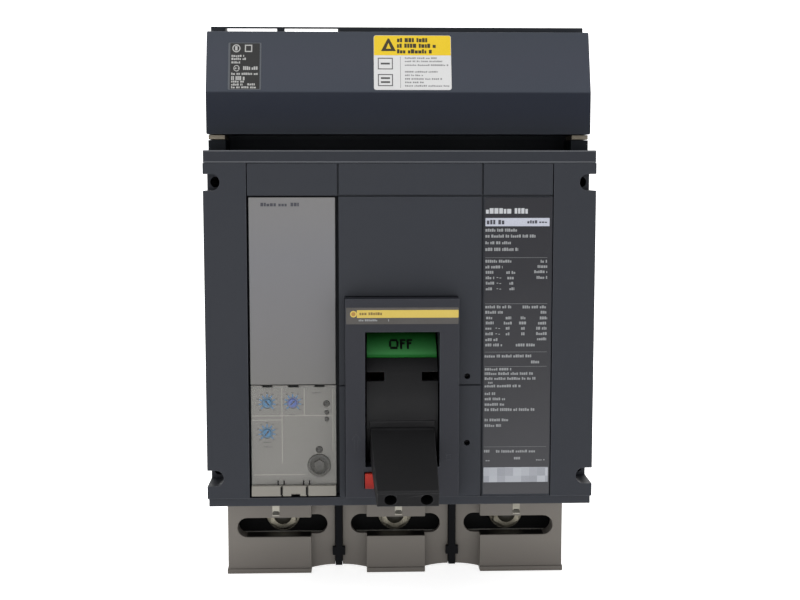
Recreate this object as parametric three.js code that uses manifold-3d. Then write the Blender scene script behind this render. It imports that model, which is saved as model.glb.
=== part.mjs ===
// Three-pole moulded case circuit breaker with an electronic trip unit, a
// plug-on busbar jaw block at the line end and shrouded lugs at the load end.
//
// Units are millimetres.  X is to the right, +Z is up (line end) and the front
// of the breaker faces -Y.  y = 0 is the flat back of the case and z = 0 is the
// middle height of the main front face.
import * as THREE from 'three';
import { mergeVertices } from 'three/addons/utils/BufferGeometryUtils.js';
import Module from 'manifold-3d';

const wasm = await Module();
wasm.setup();

// ---------------------------------------------------------- shared dimensions
const SIDES = [-1, 1];            // left, right

const CASE_HALF_W = 105;
const FACE_Y = -147;              // main front face
const SPLIT_Y = -62;              // parting plane of base and cover
const COVER_BACK = SPLIT_Y - 0.3;
const CASE_TOP = 97.8;
const CASE_BOTTOM = -95.2;
const FACE_TOP = 90.8;            // main front face, symmetric about z = 0
const FACE_BOTTOM = -FACE_TOP;
const PANEL_BACK = -137.9;        // back of the panels seated in the front cover

const POLE_PITCH = 70;
const POLES = [-POLE_PITCH, 0, POLE_PITCH];
const POLE_NAMES = ['left', 'middle', 'right'];
const CHAMBER_HALF_W = 32.5;
const CHAMBER_TRIM = 1.5;         // the outer chambers are narrower on their outer side

const FIXING_X = 100.5;
const FIXING_R = 2.9;
const FIXINGS = SIDES.flatMap((side) => [80.7, -79.5].map((z) => ({ side, z })));
const POCKET_R = 4.4;             // pocket for the screw head
const POCKET_DEPTH = 21;

// [y, z] of the axes that run along X
const HANDLE_PIVOT = [-115, -40];
const CROSSBAR = [-50, -35];
const LINK_PIVOT = [-95, -24];    // upper link on the cradle
const CRADLE_PIVOT = [-78, -62];
const TRIP_AXIS = [-86, -77];

const HANDLE_X = 0.7;             // middle of the handle and its mechanism
const LINE_BACK = -32;            // line conductors, front and back faces
const LINE_FRONT = -40;
const BUS_PITCH = 32;
const BUS_Y = [0, 1, 2].map((i) => -84 + i * BUS_PITCH);  // middles of the busbar slots
const BOLT_Z = -127.4;            // lug bolts

// ------------------------------------------------------------------ finishes
const CASE_COLOR = 0x3a3c41;
const JAW_COLOR = 0x40454b;
const GREY = 0x808082;
const STEEL = 0xa8a8a4;

const FINISH = {
  base: { color: CASE_COLOR, roughness: 0.62 },
  cover: { color: CASE_COLOR, roughness: 0.6 },
  bezel: { color: CASE_COLOR, roughness: 0.58 },
  handle: { color: 0x262626, roughness: 0.5 },
  green: { color: 0x2a7a34, roughness: 0.45 },
  red: { color: 0xa82f28, roughness: 0.45 },
  smoothSteel: { color: STEEL, roughness: 0.35, metalness: 1 },
  steel: { color: STEEL, roughness: 0.4, metalness: 1 },
  silver: { color: 0xc8c6c0, roughness: 0.3, metalness: 1 },
  copper: { color: 0xb87a50, roughness: 0.35, metalness: 1 },
  crossbar: { color: 0x4a3a2c, roughness: 0.6 },
  tripBar: { color: 0x6c5a40, roughness: 0.6 },
  tripButton: { color: 0xb03028, roughness: 0.45 },
  fluxShifter: { color: 0x8a8780, roughness: 0.5, metalness: 0.4 },
  tripHousing: { color: GREY, roughness: 0.6 },
  tripCover: { color: GREY, roughness: 0.55 },
  circuitBoard: { color: 0x2f5a3a, roughness: 0.5 },
  dialPanel: { color: 0x85857f, roughness: 0.55 },
  dial: { color: 0x5f8fc0, roughness: 0.4 },
  lamps: { color: 0x6a6a6a, roughness: 0.3 },
  socket: { color: 0x62615f, roughness: 0.5 },
  dialDoor: { color: 0x9a9a98, roughness: 0.15 },
  clipStrip: { color: 0xa09d91, roughness: 0.6 },
  arcChute: { color: 0x8a8276, roughness: 0.6, metalness: 0.3 },
  transformer: { color: 0x2c2c2e, roughness: 0.6 },
  shroud: { color: 0x736e6a, roughness: 0.55 },
  lug: { color: 0xb4b2ac, roughness: 0.45, metalness: 1 },
  jawHousing: { color: JAW_COLOR, roughness: 0.62 },
  jawCover: { color: JAW_COLOR, roughness: 0.6 },
  bracket: { color: 0xb5ad9c, roughness: 0.45, metalness: 0.6 },
};

// ------------------------------------------------------------- solid helpers
const rad = THREE.MathUtils.degToRad;

function solid(geometry) {
  for (const key of Object.keys(geometry.attributes)) {
    if (key !== 'position') geometry.deleteAttribute(key);
  }
  const merged = mergeVertices(geometry, 1e-4);
  return new wasm.Manifold(new wasm.Mesh({
    numProp: 3,
    vertProperties: new Float32Array(merged.attributes.position.array),
    triVerts: new Uint32Array(merged.index.array),
  }));
}

const join = (...parts) => parts.reduce((sum, part) => sum.add(part));
const cut = (body, ...tools) => tools.reduce((rest, tool) => rest.subtract(tool), body);

function box(x0, x1, y0, y1, z0, z1) {
  const geometry = new THREE.BoxGeometry(x1 - x0, y1 - y0, z1 - z0);
  return solid(geometry.translate((x0 + x1) / 2, (y0 + y1) / 2, (z0 + z1) / 2));
}

// cylinders along each axis
const cylinder = (radius, length, segments) =>
  new THREE.CylinderGeometry(radius, radius, length, segments);
const cylX = (y, z, radius, x0, x1, segments) => solid(
  cylinder(radius, x1 - x0, segments).rotateZ(-Math.PI / 2).translate((x0 + x1) / 2, y, z));
const cylY = (x, z, radius, y0, y1, segments) => solid(
  cylinder(radius, y1 - y0, segments).translate(x, (y0 + y1) / 2, z));
const cylZ = (x, y, radius, z0, z1, segments) => solid(
  cylinder(radius, z1 - z0, segments).rotateX(Math.PI / 2).translate(x, y, (z0 + z1) / 2));

function shapeOf(points) {
  const shape = new THREE.Shape();
  points.forEach(([u, v], i) => (i ? shape.lineTo(u, v) : shape.moveTo(u, v)));
  shape.closePath();
  return shape;
}
const extrude = (points, depth) =>
  new THREE.ExtrudeGeometry(shapeOf(points), { depth, bevelEnabled: false });

// (y, z) outline pushed along X
function alongX(points, x0, x1) {
  const turn = new THREE.Matrix4().set(0, 0, 1, x0, 1, 0, 0, 0, 0, 1, 0, 0, 0, 0, 0, 1);
  return solid(extrude(points, x1 - x0).applyMatrix4(turn));
}
// (x, z) outline pushed along Y
function alongY(points, y0, y1) {
  const turn = new THREE.Matrix4().set(1, 0, 0, 0, 0, 0, -1, y1, 0, 1, 0, 0, 0, 0, 0, 1);
  return solid(extrude(points, y1 - y0).applyMatrix4(turn));
}
// (x, y) outline pushed along Z
const alongZ = (points, z0, z1) => solid(extrude(points, z1 - z0).translate(0, 0, z0));

// the same, spanning mid - half to mid + half in X
const midBox = (mid, half, ...rest) => box(mid - half, mid + half, ...rest);
const midPrism = (points, mid, half) => alongX(points, mid - half, mid + half);
const midCyl = (axis, radius, mid, half, segments) =>
  cylX(...axis, radius, mid - half, mid + half, segments);

// points of an arc, angles in radians from the first coordinate axis
function arc([u, v], radius, from, to, steps) {
  return Array.from({ length: steps + 1 }, (_, i) => {
    const angle = from + (to - from) * i / steps;
    return [u + radius * Math.cos(angle), v + radius * Math.sin(angle)];
  });
}
// bar with round ends centred on two points
function roundBar(start, end, radius, steps = 7) {
  const angle = Math.atan2(end[1] - start[1], end[0] - start[0]);
  const quarter = Math.PI / 2;
  return [
    ...arc(end, radius, angle - quarter, angle + quarter, steps),
    ...arc(start, radius, angle + quarter, angle + 3 * quarter, steps),
  ];
}

const assembly = new THREE.Group();
function add(name, shape, finish) {
  const { vertProperties, triVerts } = shape.getMesh();
  const geometry = new THREE.BufferGeometry();
  const positions = new Float32Array(vertProperties);
  geometry.setAttribute('position', new THREE.BufferAttribute(positions, 3));
  geometry.setIndex(new THREE.BufferAttribute(new Uint32Array(triVerts), 1));
  geometry.computeVertexNormals();
  const mesh = new THREE.Mesh(geometry, new THREE.MeshStandardMaterial(finish));
  mesh.name = name;
  assembly.add(mesh);
}

// ---------------------------------------------------------------------- case
const CHAMBER_BOTTOM = -66, CHAMBER_TOP = 72;
const BASE_FLOOR = -8;            // front of the base's back wall
const COVER_CEILING = -133;       // back of the cover's front wall

function chamber(pole, y0, y1) {
  const x0 = pole - CHAMBER_HALF_W + (pole < 0 ? CHAMBER_TRIM : 0);
  const x1 = pole + CHAMBER_HALF_W - (pole > 0 ? CHAMBER_TRIM : 0);
  return box(x0, x1, y0, y1, CHAMBER_BOTTOM, CHAMBER_TOP);
}

function baseCase() {
  const front = SPLIT_Y - 1;
  const parts = [midBox(0, CASE_HALF_W, SPLIT_Y, 0, CASE_BOTTOM, CASE_TOP)];
  // barriers between the load terminals, with their thicker retaining lips
  for (const side of SIDES) {
    const barrier = side * POLE_PITCH / 2;
    parts.push(
      midBox(barrier, 2.1, -60.2, -2, -156.1, CASE_BOTTOM + 1),
      midBox(barrier, 3.9, -60.2, -57.9, -149.7, -144.5));
  }
  const holes = [];
  for (const pole of POLES) {
    holes.push(
      chamber(pole, front, BASE_FLOOR),
      midBox(pole, 23.5, front, BASE_FLOOR, -88, -65),                    // transformer bay
      midBox(pole, 14, LINE_FRONT - 1.2, LINE_BACK + 1.2, 71, CASE_TOP + 1),  // line conductor
      midBox(pole, 13.5, -31.5, -22.5, CASE_BOTTOM - 1, -87));            // load conductor
  }
  holes.push(midCyl(CROSSBAR, 8.6, 0, 93, 16));                           // crossbar bearings
  for (const { side, z } of FIXINGS) {
    holes.push(cylY(side * FIXING_X, z, FIXING_R, front, 1, 16));
  }
  // shallow recesses in the back face, leaving ribs between them
  for (const pole of POLES) {
    for (const z of [-60, -20, 20, 60]) holes.push(midBox(pole, 24, -1.2, 1, z - 14, z + 14));
  }
  return cut(join(...parts), ...holes);
}

function frontCover() {
  const body = join(
    midBox(0, CASE_HALF_W, FACE_Y, COVER_BACK, FACE_BOTTOM, FACE_TOP),
    midBox(0, CASE_HALF_W - 0.5, FACE_Y + 2.2, COVER_BACK, FACE_TOP - 1, CASE_TOP),
    midBox(0, CASE_HALF_W - 0.7, FACE_Y + 1.0, COVER_BACK, CASE_BOTTOM, FACE_BOTTOM + 1));
  const back = SPLIT_Y + 1;
  const bayX = 93.5;              // outer limit of the lower bays
  const holes = [midBox(0, 82.2, FACE_Y - 1, -137.5, -90.4, FACE_TOP)];   // panel seat
  for (const pole of POLES) {
    const x0 = pole < 0 ? -bayX : pole - CHAMBER_HALF_W;
    const x1 = pole > 0 ? bayX : pole + CHAMBER_HALF_W;
    holes.push(
      chamber(pole, COVER_CEILING, back),
      box(x0, x1, COVER_CEILING, back, -88, -65));
  }
  holes.push(
    box(-81.6, -39.4, -138, -132, -87.5, 72.0),                           // trip unit opening
    box(-28.8, 30.2, -138, -132, -88, 14),                                // mechanism opening
    cylX(...TRIP_AXIS, 4.2, -66, 34, 20));                                // trip bar bearings
  // screw pockets, open to the sides of the case
  const outside = CASE_HALF_W + 2;
  const pocketBack = FACE_Y + POCKET_DEPTH;
  for (const { side, z } of FIXINGS) {
    const x = side * FIXING_X;
    holes.push(
      cylY(x, z, POCKET_R, FACE_Y - 1, pocketBack, 28),
      midBox(side * (FIXING_X + outside) / 2, (outside - FIXING_X) / 2,
        FACE_Y - 1, pocketBack, z - POCKET_R, z + POCKET_R),
      cylY(x, z, FIXING_R, FACE_Y, COVER_BACK + 1, 16));
  }
  return cut(body, ...holes);
}

function accessoryCover() {
  // x, z: a panel stepped round the trip unit
  const outline = [
    [-33.2, -90.3], [81.7, -90.3], [81.7, 90.75],
    [-81.7, 90.75], [-81.7, 73.7], [-33.2, 73.7],
  ];
  const front = FACE_Y - 1;
  const grooveFloor = FACE_Y + 1.6;
  const back = PANEL_BACK + 1;
  const grooveHalf = 0.45;
  const leftGroove = -33.4;
  const rightGroove = 44;
  const holes = [
    midBox(leftGroove, grooveHalf, front, grooveFloor, 73.4, 91),
    midBox(rightGroove, grooveHalf, front, grooveFloor, -91, 91),
    box(leftGroove, 82, front, grooveFloor, 73.2, 74.1),
    box(leftGroove, rightGroove, front, grooveFloor, -29.1, -28.3),
    box(-30, 31, front, back, -91, 19.8),                                 // bezel window
  ];
  // two screw holes, wider from behind
  for (const z of [-24.0, -60.7]) {
    holes.push(cylY(36.2, z, 1.55, front, back, 20), cylY(36.2, z, 2.6, FACE_Y + 5, back, 20));
  }
  return cut(alongY(outline, FACE_Y, PANEL_BACK), ...holes);
}

const BEZEL = { left: -29.8, right: 30.8, top: 19.5, bottom: -87.6, front: -159, back: -138.2 };
const WINDOW = { left: -19.3, right: 20.4, top: 1.8, bottom: -71.0 };

function handleBezel() {
  const outline = [               // y, z
    [BEZEL.front, BEZEL.top], [BEZEL.front, BEZEL.bottom],
    [FACE_Y - 0.2, -90.1], [BEZEL.back, -90.1], [BEZEL.back, BEZEL.top],
  ];
  const front = BEZEL.front - 1;
  const back = -137;
  return cut(alongX(outline, BEZEL.left, BEZEL.right),
    box(WINDOW.left, WINDOW.right, front, back, WINDOW.bottom, WINDOW.top),
    cylX(...HANDLE_PIVOT, 43.4, WINDOW.left - 0.3, WINDOW.right + 0.3, 72),  // room for the drum
    box(-19.9, -14.3, front, back, -82.7, -73.7),                         // trip button guide
    box(-19.3, -15.3, -152.6, back, -87.3, -78));                         // room for its rod
}

// ----------------------------------------------------------- handle and drum
const DRUM_R = 40;
const DRUM_WALL = 3;
const DRUM_HALF_W = 19.3;
const CHEEK_HALF_T = 1.1;
const FLAG_GAP = 0.08;            // between the drum shell and the flags
const FLAG_R = 41.6;
const FLAG_HALF_W = DRUM_HALF_W - 0.3;
const PAST_DRUM = 30;             // half width that clears the drum on both sides
const TIP_SHIFT = 1.1;            // the tip stands slightly to the right of the root

// arc round the handle pivot; degrees from -Y towards +Z
const drumArc = (radius, from, to, steps) =>
  arc(HANDLE_PIVOT, radius, rad(180 - from), rad(180 - to), steps);
const sector = (inner, outer, from, to, steps) =>
  [...drumArc(outer, from, to, steps), ...drumArc(inner, from, to, steps).reverse()];

// grip seen from the side: y, z
const GRIP_SIDE = [
  [-150, -45.0], [-155, -51.7], [-204.2, -72.3], [-205.2, -73.6],
  [-202.2, -80.9], [-201.0, -81.3], [-150, -66.5], [-143, -60],
];
// grip seen from above: x, y
const GRIP_PLAN = [
  [HANDLE_X + 17.6, -140], [HANDLE_X + 17.3, -155],
  [HANDLE_X + TIP_SHIFT + 15.5, -206], [HANDLE_X + TIP_SHIFT - 15.5, -206],
  [HANDLE_X - 17.3, -155], [HANDLE_X - 17.6, -140],
];

// side cheek from the shell to the pivot boss
function drumCheek(side) {
  const mid = HANDLE_X + side * (DRUM_HALF_W - CHEEK_HALF_T);
  return join(
    midPrism([HANDLE_PIVOT, ...drumArc(DRUM_R - 0.6, -88, 62, 30)], mid, CHEEK_HALF_T),
    midCyl(HANDLE_PIVOT, 7, mid, CHEEK_HALF_T, 24));
}

// blind bore square to the sloping end face of the grip
const gripBore = (x) => solid(cylinder(3.1, 30, 28)
  .translate(0, 11, 0)
  .rotateX(Math.atan2(3.0, 7.3))
  .translate(x, -203.66, -77.35));

function grip() {
  const blank = midPrism(GRIP_SIDE, 0, PAST_DRUM).intersect(alongZ(GRIP_PLAN, -100, -30));
  return cut(blank, gripBore(-7.1), gripBore(11.2),
    midCyl(HANDLE_PIVOT, DRUM_R - 1, 0, PAST_DRUM, 64));
}

function handle() {
  const shell = sector(DRUM_R - DRUM_WALL, DRUM_R, -130, 87, 44);
  const ridge = sector(DRUM_R - 0.5, DRUM_R + 1.2, -14.5, -9.5, 4);       // at the grip's root
  const body = join(
    midPrism(shell, HANDLE_X, DRUM_HALF_W),
    ...SIDES.map(drumCheek),
    grip(),
    midPrism(ridge, HANDLE_X, 17.5));
  // two open notches in the drum face, and the pin hole
  return cut(body,
    box(HANDLE_X - DRUM_HALF_W - 1, -9.0, -160, -120, -25.6, -21.0),
    box(11.4, HANDLE_X + DRUM_HALF_W + 1, -160, -120, -25.6, -21.0),
    midCyl(HANDLE_PIVOT, 3.9, 0, PAST_DRUM, 24));
}

const flag = (outer, from, to) =>
  midPrism(sector(DRUM_R + FLAG_GAP, outer, from, to, 14), HANDLE_X, FLAG_HALF_W);

// helix inside the drum, running forward and slightly up from near the pivot
class SpringPath extends THREE.Curve {
  getPoint(t, target = new THREE.Vector3()) {
    const tilt = rad(14);
    const radius = 2.4;
    const turns = 6;
    const along = 9 + 24 * t;     // distance from the pivot axis
    const turn = 2 * Math.PI * turns * t;
    const across = radius * Math.sin(turn);
    return target.set(
      HANDLE_X + 9.2 + radius * Math.cos(turn),
      HANDLE_PIVOT[0] - along * Math.cos(tilt) + across * Math.sin(tilt),
      HANDLE_PIVOT[1] + along * Math.sin(tilt) + across * Math.cos(tilt));
  }
}
function toggleSpring() {
  const wire = shapeOf(arc([0, 0], 0.62, 0, 1.6 * Math.PI, 4));           // five-sided
  const path = new SpringPath();
  return solid(new THREE.ExtrudeGeometry(wire,
    { steps: 54, bevelEnabled: false, extrudePath: path }));
}

// ----------------------------------------------------------------- mechanism
const ARM_LEAN = rad(30);         // contact arms when open
const CRANK_R = 14;               // crank pin, from the crossbar axis
const UPPER_LINK = 25;            // link lengths between pin centres
const LOWER_LINK = 23;
const CRANK_PIN_R = 2.4;
const KNEE_PIN_R = 2.4;

// (y, z) of a point measured along and across a contact arm from the crossbar axis
const armPoint = (along, across) => [
  CROSSBAR[0] - along * Math.sin(ARM_LEAN) + across * Math.cos(ARM_LEAN),
  CROSSBAR[1] + along * Math.cos(ARM_LEAN) + across * Math.sin(ARM_LEAN),
];
const CRANK_PIN = armPoint(CRANK_R, 0);

// pin joining the two toggle links, in the open position
function kneePoint() {
  const [y, z] = LINK_PIVOT;
  const dy = CRANK_PIN[0] - y;
  const dz = CRANK_PIN[1] - z;
  const span = Math.hypot(dy, dz);
  const along = (span ** 2 + UPPER_LINK ** 2 - LOWER_LINK ** 2) / (2 * span);
  const offset = Math.sqrt(UPPER_LINK ** 2 - along ** 2);
  return [y + (along * dy - offset * dz) / span, z + (along * dz + offset * dy) / span];
}
const KNEE = kneePoint();

function mechanismFrame() {
  const outline = [               // y, z
    [-130, -70], [-130, -8], [-118, 6], [-74, 8],
    [-66, 2], [-66, -84], [-76, -86], [-124, -84],
  ];
  const opening = [[-106, -4], [-84, -2], [-78, -12], [-92, -14]];
  const holes = [
    midCyl(HANDLE_PIVOT, 3.8, 0, PAST_DRUM, 24),
    midCyl(TRIP_AXIS, 3.6, 0, PAST_DRUM, 20),
    midCyl(CRADLE_PIVOT, 2.9, 0, PAST_DRUM, 20),
    midPrism(opening, 0, PAST_DRUM),
  ];
  const plates = SIDES.map((side) => cut(midPrism(outline, HANDLE_X + side * 24.4, 1), ...holes));
  const ties = [[-98, 4.2], [-70, -80]].map((axis) => midCyl(axis, 2.4, HANDLE_X, 24.5, 14));
  return join(...plates, ...ties);
}

// latched lever with its pivot pin and the pin of the upper link
function cradle() {
  const outline = [               // y, z
    [-80.5, -65], [-75, -64.5], [-73.5, -60], [-86, -38], [-90.5, -19.5], [-97, -10],
    [-104, -6], [-105.5, -9], [-99.5, -14], [-99.5, -27], [-93, -36],
  ];
  return join(
    alongX(outline, HANDLE_X - 11.6, HANDLE_X - 8.8),
    midCyl(CRADLE_PIVOT, 2.5, HANDLE_X, 22.8, 20),
    cylX(...LINK_PIVOT, 2.0, HANDLE_X - 10, HANDLE_X + 5.4, 16));
}

const upperLink = () => cut(
  join(
    midPrism(roundBar(LINK_PIVOT, KNEE, 4.2), HANDLE_X, 4.4),
    midCyl(KNEE, KNEE_PIN_R, HANDLE_X, 12.9, 16)),
  midCyl(LINK_PIVOT, 2.35, HANDLE_X, 6, 16));

// two plates tied by the crank pin
function lowerLink() {
  const plates = SIDES.map((side) => {
    const mid = HANDLE_X + side * 14.8;
    return cut(midPrism(roundBar(KNEE, CRANK_PIN, 4.4), mid, 1.2),
      midCyl(KNEE, KNEE_PIN_R + 0.5, mid, 2.2, 16));
  });
  return join(...plates, midCyl(CRANK_PIN, CRANK_PIN_R, HANDLE_X, 15.9, 16));
}

function crossbar() {
  const [y, z] = CROSSBAR;
  const cranks = SIDES.map((side) => {
    const mid = HANDLE_X + side * 11.3;
    return cut(midPrism(roundBar(CROSSBAR, CRANK_PIN, 5), mid, 1.7),
      midCyl(CRANK_PIN, CRANK_PIN_R + 0.35, mid, 3, 16));
  });
  const slots = POLES.map((pole) => midBox(pole, 8.4, y - 8, y + 8, z - 8, z + 8));
  // the bar is necked where a contact arm clasps it
  const necks = POLES.map((pole) => midCyl(CROSSBAR, 4.4, pole, 9, 12));
  return join(cut(join(midCyl(CROSSBAR, 7.4, 0, 92, 16), ...cranks), ...slots), ...necks);
}

// along, across the arm
const ARM_OUTLINE = [
  [-9, -3.4], [-9, 3.4], [0, 7.2], [10, 5.0], [50, 3.0],
  [55, 0], [54, -3], [10, -5.0], [0, -7.2],
].map(([along, across]) => armPoint(along, across));
const ARM_PAD = [[44, 2.5], [44, 5.6], [53, 5.6], [53, 1.4]]
  .map(([along, across]) => armPoint(along, across));

function contactArm(pole) {
  const body = join(midPrism(ARM_OUTLINE, pole, 8), midPrism(ARM_PAD, pole, 6));
  const arm = cut(body, midCyl(CROSSBAR, 4.6, pole, 9, 16));
  // the crank pin passes through the middle arm
  return pole === 0 ? cut(arm, midCyl(CRANK_PIN, CRANK_PIN_R + 0.4, 0, 9, 16)) : arm;
}

// one shaft with two levers
function tripBar() {
  const [y, z] = TRIP_AXIS;
  return join(
    cylX(y, z, 2.6, -62, 31, 20),
    box(-19.6, -15.0, y - 1.4, y + 1.6, -87.2, z),
    box(-54.5, -50.5, y - 1.4, y + 1.6, -87.2, z));
}

// push-to-trip button, with a rod that runs back towards the trip bar
const tripButton = () => join(
  box(-19.5, -14.7, -161.2, -146, -82.3, -74.1),
  box(-18.7, -15.9, -152, -146, -86.6, -78),
  box(-18.7, -15.9, -147, TRIP_AXIS[0] - 4.9, -86.6, -83.2));

// trip solenoid; its plunger slides in the lower bore
const SHIFTER_X = -52.5;
const PLUNGER_Z = -84.4;
const fluxShifter = () => cut(
  join(box(-62, -43, -111, -92.2, -87.6, -66.5), cylY(SHIFTER_X, -75.5, 5.5, -93, -90.6, 24)),
  cylY(SHIFTER_X, PLUNGER_Z, 2.1, -104, -90, 16));
const fluxPlunger = () => cylY(SHIFTER_X, PLUNGER_Z, 1.7, -103.5, -91.0, 16);

// ----------------------------------------------------------------- trip unit
const UNIT = { left: -81.0, right: -35.0, top: 72.8, bottom: -89.5 };
const UNIT_SPLIT = -28.7;         // between the upper cover and the dial panel
const UNIT_STRIP = -83.6;         // between the dial panel and the clip strip
const UNIT_SEAT = -141.5;         // back of the unit's front parts
const DIALS = [[-72.3, -38.3], [-58.5, -38.3], [-72.5, -54.8]];  // x, z
const LAMPS = [[-40.2, -38.9, 1.5], [-40.0, -43.7, 1.0], [-40.0, -47.5, 1.0]];  // x, z, radius
const SEAL = [-44.2, -64.3];      // x, z of the seal hole
const SOCKET = [-44.3, -73.0];    // x, z
const HINGES_X = [-72.0, -58.0, -43.9];

function tripUnitHousing() {
  const well = (y0, y1) => box(-78.0, -42.6, y0, y1, -84.5, 69.0);
  const flange = box(UNIT.left + 0.3, UNIT.right - 0.3, -141.2, PANEL_BACK,
    UNIT.bottom, UNIT.top - 0.3);
  const tub = box(-80.6, -40.2, -138.2, -113.5, -86.8, 71.2);
  return cut(
    join(cut(flange, well(-145, -130)), cut(tub, well(-139.5, -116))),
    box(-42.8, -37.6, -142, -139.0, -50.9, -35.6));                       // seat of the lamps
}

const circuitBoard = () => cut(
  box(-76.8, -43.8, -131.5, -129.9, -82.5, 67),
  box(-58, -52, -132, -129, 30, 40));

const tripUnitCover = () =>
  box(UNIT.left, UNIT.right, -147.1, UNIT_SEAT, UNIT_SPLIT + 0.7, UNIT.top);

function dialPanel() {
  const hole = (x, z, radius, segments) => cylY(x, z, radius, -150, -130, segments);
  return cut(
    box(UNIT.left, UNIT.right, -144.9, UNIT_SEAT, UNIT_STRIP + 0.2, UNIT_SPLIT - 0.1),
    ...DIALS.map(([x, z]) => hole(x, z, 3.2, 20)),
    ...LAMPS.map(([x, z, radius]) => hole(x, z, radius + 0.25, 16)),
    hole(...SEAL, 1.95, 20),
    hole(...SOCKET, 6.35, 32),
    ...HINGES_X.map((x) => midBox(x, 2.9, -148, -142.6, -29.9, -27)));
}

// slotted knob on a thin shaft
const dial = ([x, z]) => cut(
  join(cylY(x, z, 2.75, -145.9, -141, 20), cylY(x, z, 1.5, -141.5, -132.5, 10)),
  midBox(x, 0.45, -147, -145.0, z - 2.0, z + 2.9));

const statusLamps = () => join(
  box(-42.4, -38.0, -141.1, -139.3, -50.5, -36),
  ...LAMPS.map(([x, z, radius]) => cylY(x, z, radius, -145.2, -141, 16)));

const testSocket = () => join(
  cut(cylY(...SOCKET, 6.1, -146.0, UNIT_SEAT, 32), cylY(...SOCKET, 4.8, -147, -142.8, 28)),
  cylY(...SOCKET, 3.1, -145.0, -142, 6));

// door over the dials, notched along its top edge for the hinges
const dialCover = () => cut(
  box(UNIT.left + 0.2, UNIT.right - 0.2, -147.7, -146.4, UNIT_STRIP + 0.2, UNIT_SPLIT + 0.35),
  ...HINGES_X.map((x) => midBox(x, 2.75, -150, -144, -29.35, -27)));

const tripUnitStrip = () => cut(
  box(UNIT.left, UNIT.right - 0.2, -147.4, UNIT_SEAT, UNIT.bottom, UNIT_STRIP - 0.2),
  box(-65.0, -64.1, -149, -145, -90, -83),
  box(-51.2, -50.3, -149, -145, -90, -83),
  box(-59.6, -54.8, -149, -144, -90, -88.2));

// ------------------------------------------------- conductors of one pole
const CONDUCTOR_HALF_W = 12;      // jaws and load conductors
const LINE_HALF_W = 12.5;
const SPLITTERS = { count: 7, first: 29, pitch: 5.6, thickness: 1.6 };

// two side walls holding a stack of notched splitter plates
function arcChute(pole) {
  const walls = SIDES.map((side) => midBox(pole + side * 24, 1, -92, -47, 26, 68));
  const notch = [[pole, -64], [pole + 7, -48], [pole - 7, -48]];          // x, y
  const plates = Array.from({ length: SPLITTERS.count }, (_, i) => {
    const z = SPLITTERS.first + i * SPLITTERS.pitch;
    return cut(midBox(pole, 23.5, -90, -49, z, z + SPLITTERS.thickness),
      alongZ(notch, z - 1, z + 3));
  });
  return join(...walls, ...plates);
}

// rises out of the case and turns to its busbar slot
function lineConductor(pole, busY) {
  const top = 111;
  const runFront = Math.min(busY - 9, LINE_FRONT);
  const runBack = Math.max(busY + 9, LINE_BACK);
  return join(
    midBox(pole, LINE_HALF_W, LINE_FRONT, LINE_BACK, 8, top),
    midBox(pole, LINE_HALF_W, runFront, runBack, 105, top),
    midBox(pole, 7, LINE_FRONT - 3.6, LINE_FRONT + 1, 9, 22));            // contact pad
}

// one finger of a spring jaw: distance from the slot's middle plane, z
const JAW_FINGER = [
  [3.2, 112], [5.6, 112], [5.6, 120], [5.0, 148], [7.4, 156], [5.4, 156.6], [2.8, 148],
];
function jaw(pole, busY) {
  const finger = (side) => midPrism(
    JAW_FINGER.map(([away, z]) => [busY + side * away, z]), pole, CONDUCTOR_HALF_W);
  return join(
    midBox(pole, CONDUCTOR_HALF_W, busY - 7, busY + 7, 111.3, 116),
    finger(1),
    finger(-1));
}

// straight through the transformer, then back to the lug
function loadConductor(pole) {
  const outline = [               // y, z
    [-30, -46], [-30, -98.5], [-16, -105], [-16, -149],
    [-10, -149], [-10, -101.5], [-24, -95], [-24, -46],
  ];
  return cut(midPrism(outline, pole, CONDUCTOR_HALF_W), cylY(pole, BOLT_Z, 5.5, -20, -5, 16));
}

const currentTransformer = (pole) => cut(
  midBox(pole, 22, -44, -9.5, -86, -67),
  midBox(pole, 13, -31.2, -22.8, -90, -60));

// ------------------------------------------------------------ load terminals
const SHROUD_HALF_W = 32.7;
const SHROUD_TOP = -97.2;
const SHROUD_BOTTOM = -159.4;
const SHROUD_FRONT = -64.5;       // front of the raised part
const SHROUD_RECESS = -57.3;      // front of the recessed parts
const ARCH_LOW = SHROUD_BOTTOM + 2.9;   // lower edge beside the barrier
const ARCH_END = SHROUD_BOTTOM + 1.0;   // lower edge beside the raised part
const SLOT_BOTTOM = -136.6;
const SLOT_TOP = -124.6;
// x limits of the raised part and of the slot in each shroud
const SHROUDS = [
  { raised: [-102.7, -51.8], slot: [-96.9, -42.0] },
  { raised: [-17.8, 18.1], slot: [-27.6, 27.7] },
  { raised: [52.0, 102.7], slot: [42.4, 96.9] },
];

// curved lower edge from the shroud's side to its raised part
function archPoints(edgeX, raisedX) {
  const steps = 8;
  return Array.from({ length: steps + 1 }, (_, i) => {
    const t = i / steps;
    return [edgeX + (raisedX - edgeX) * t, ARCH_LOW + (ARCH_END - ARCH_LOW) * t * t];
  });
}

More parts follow.
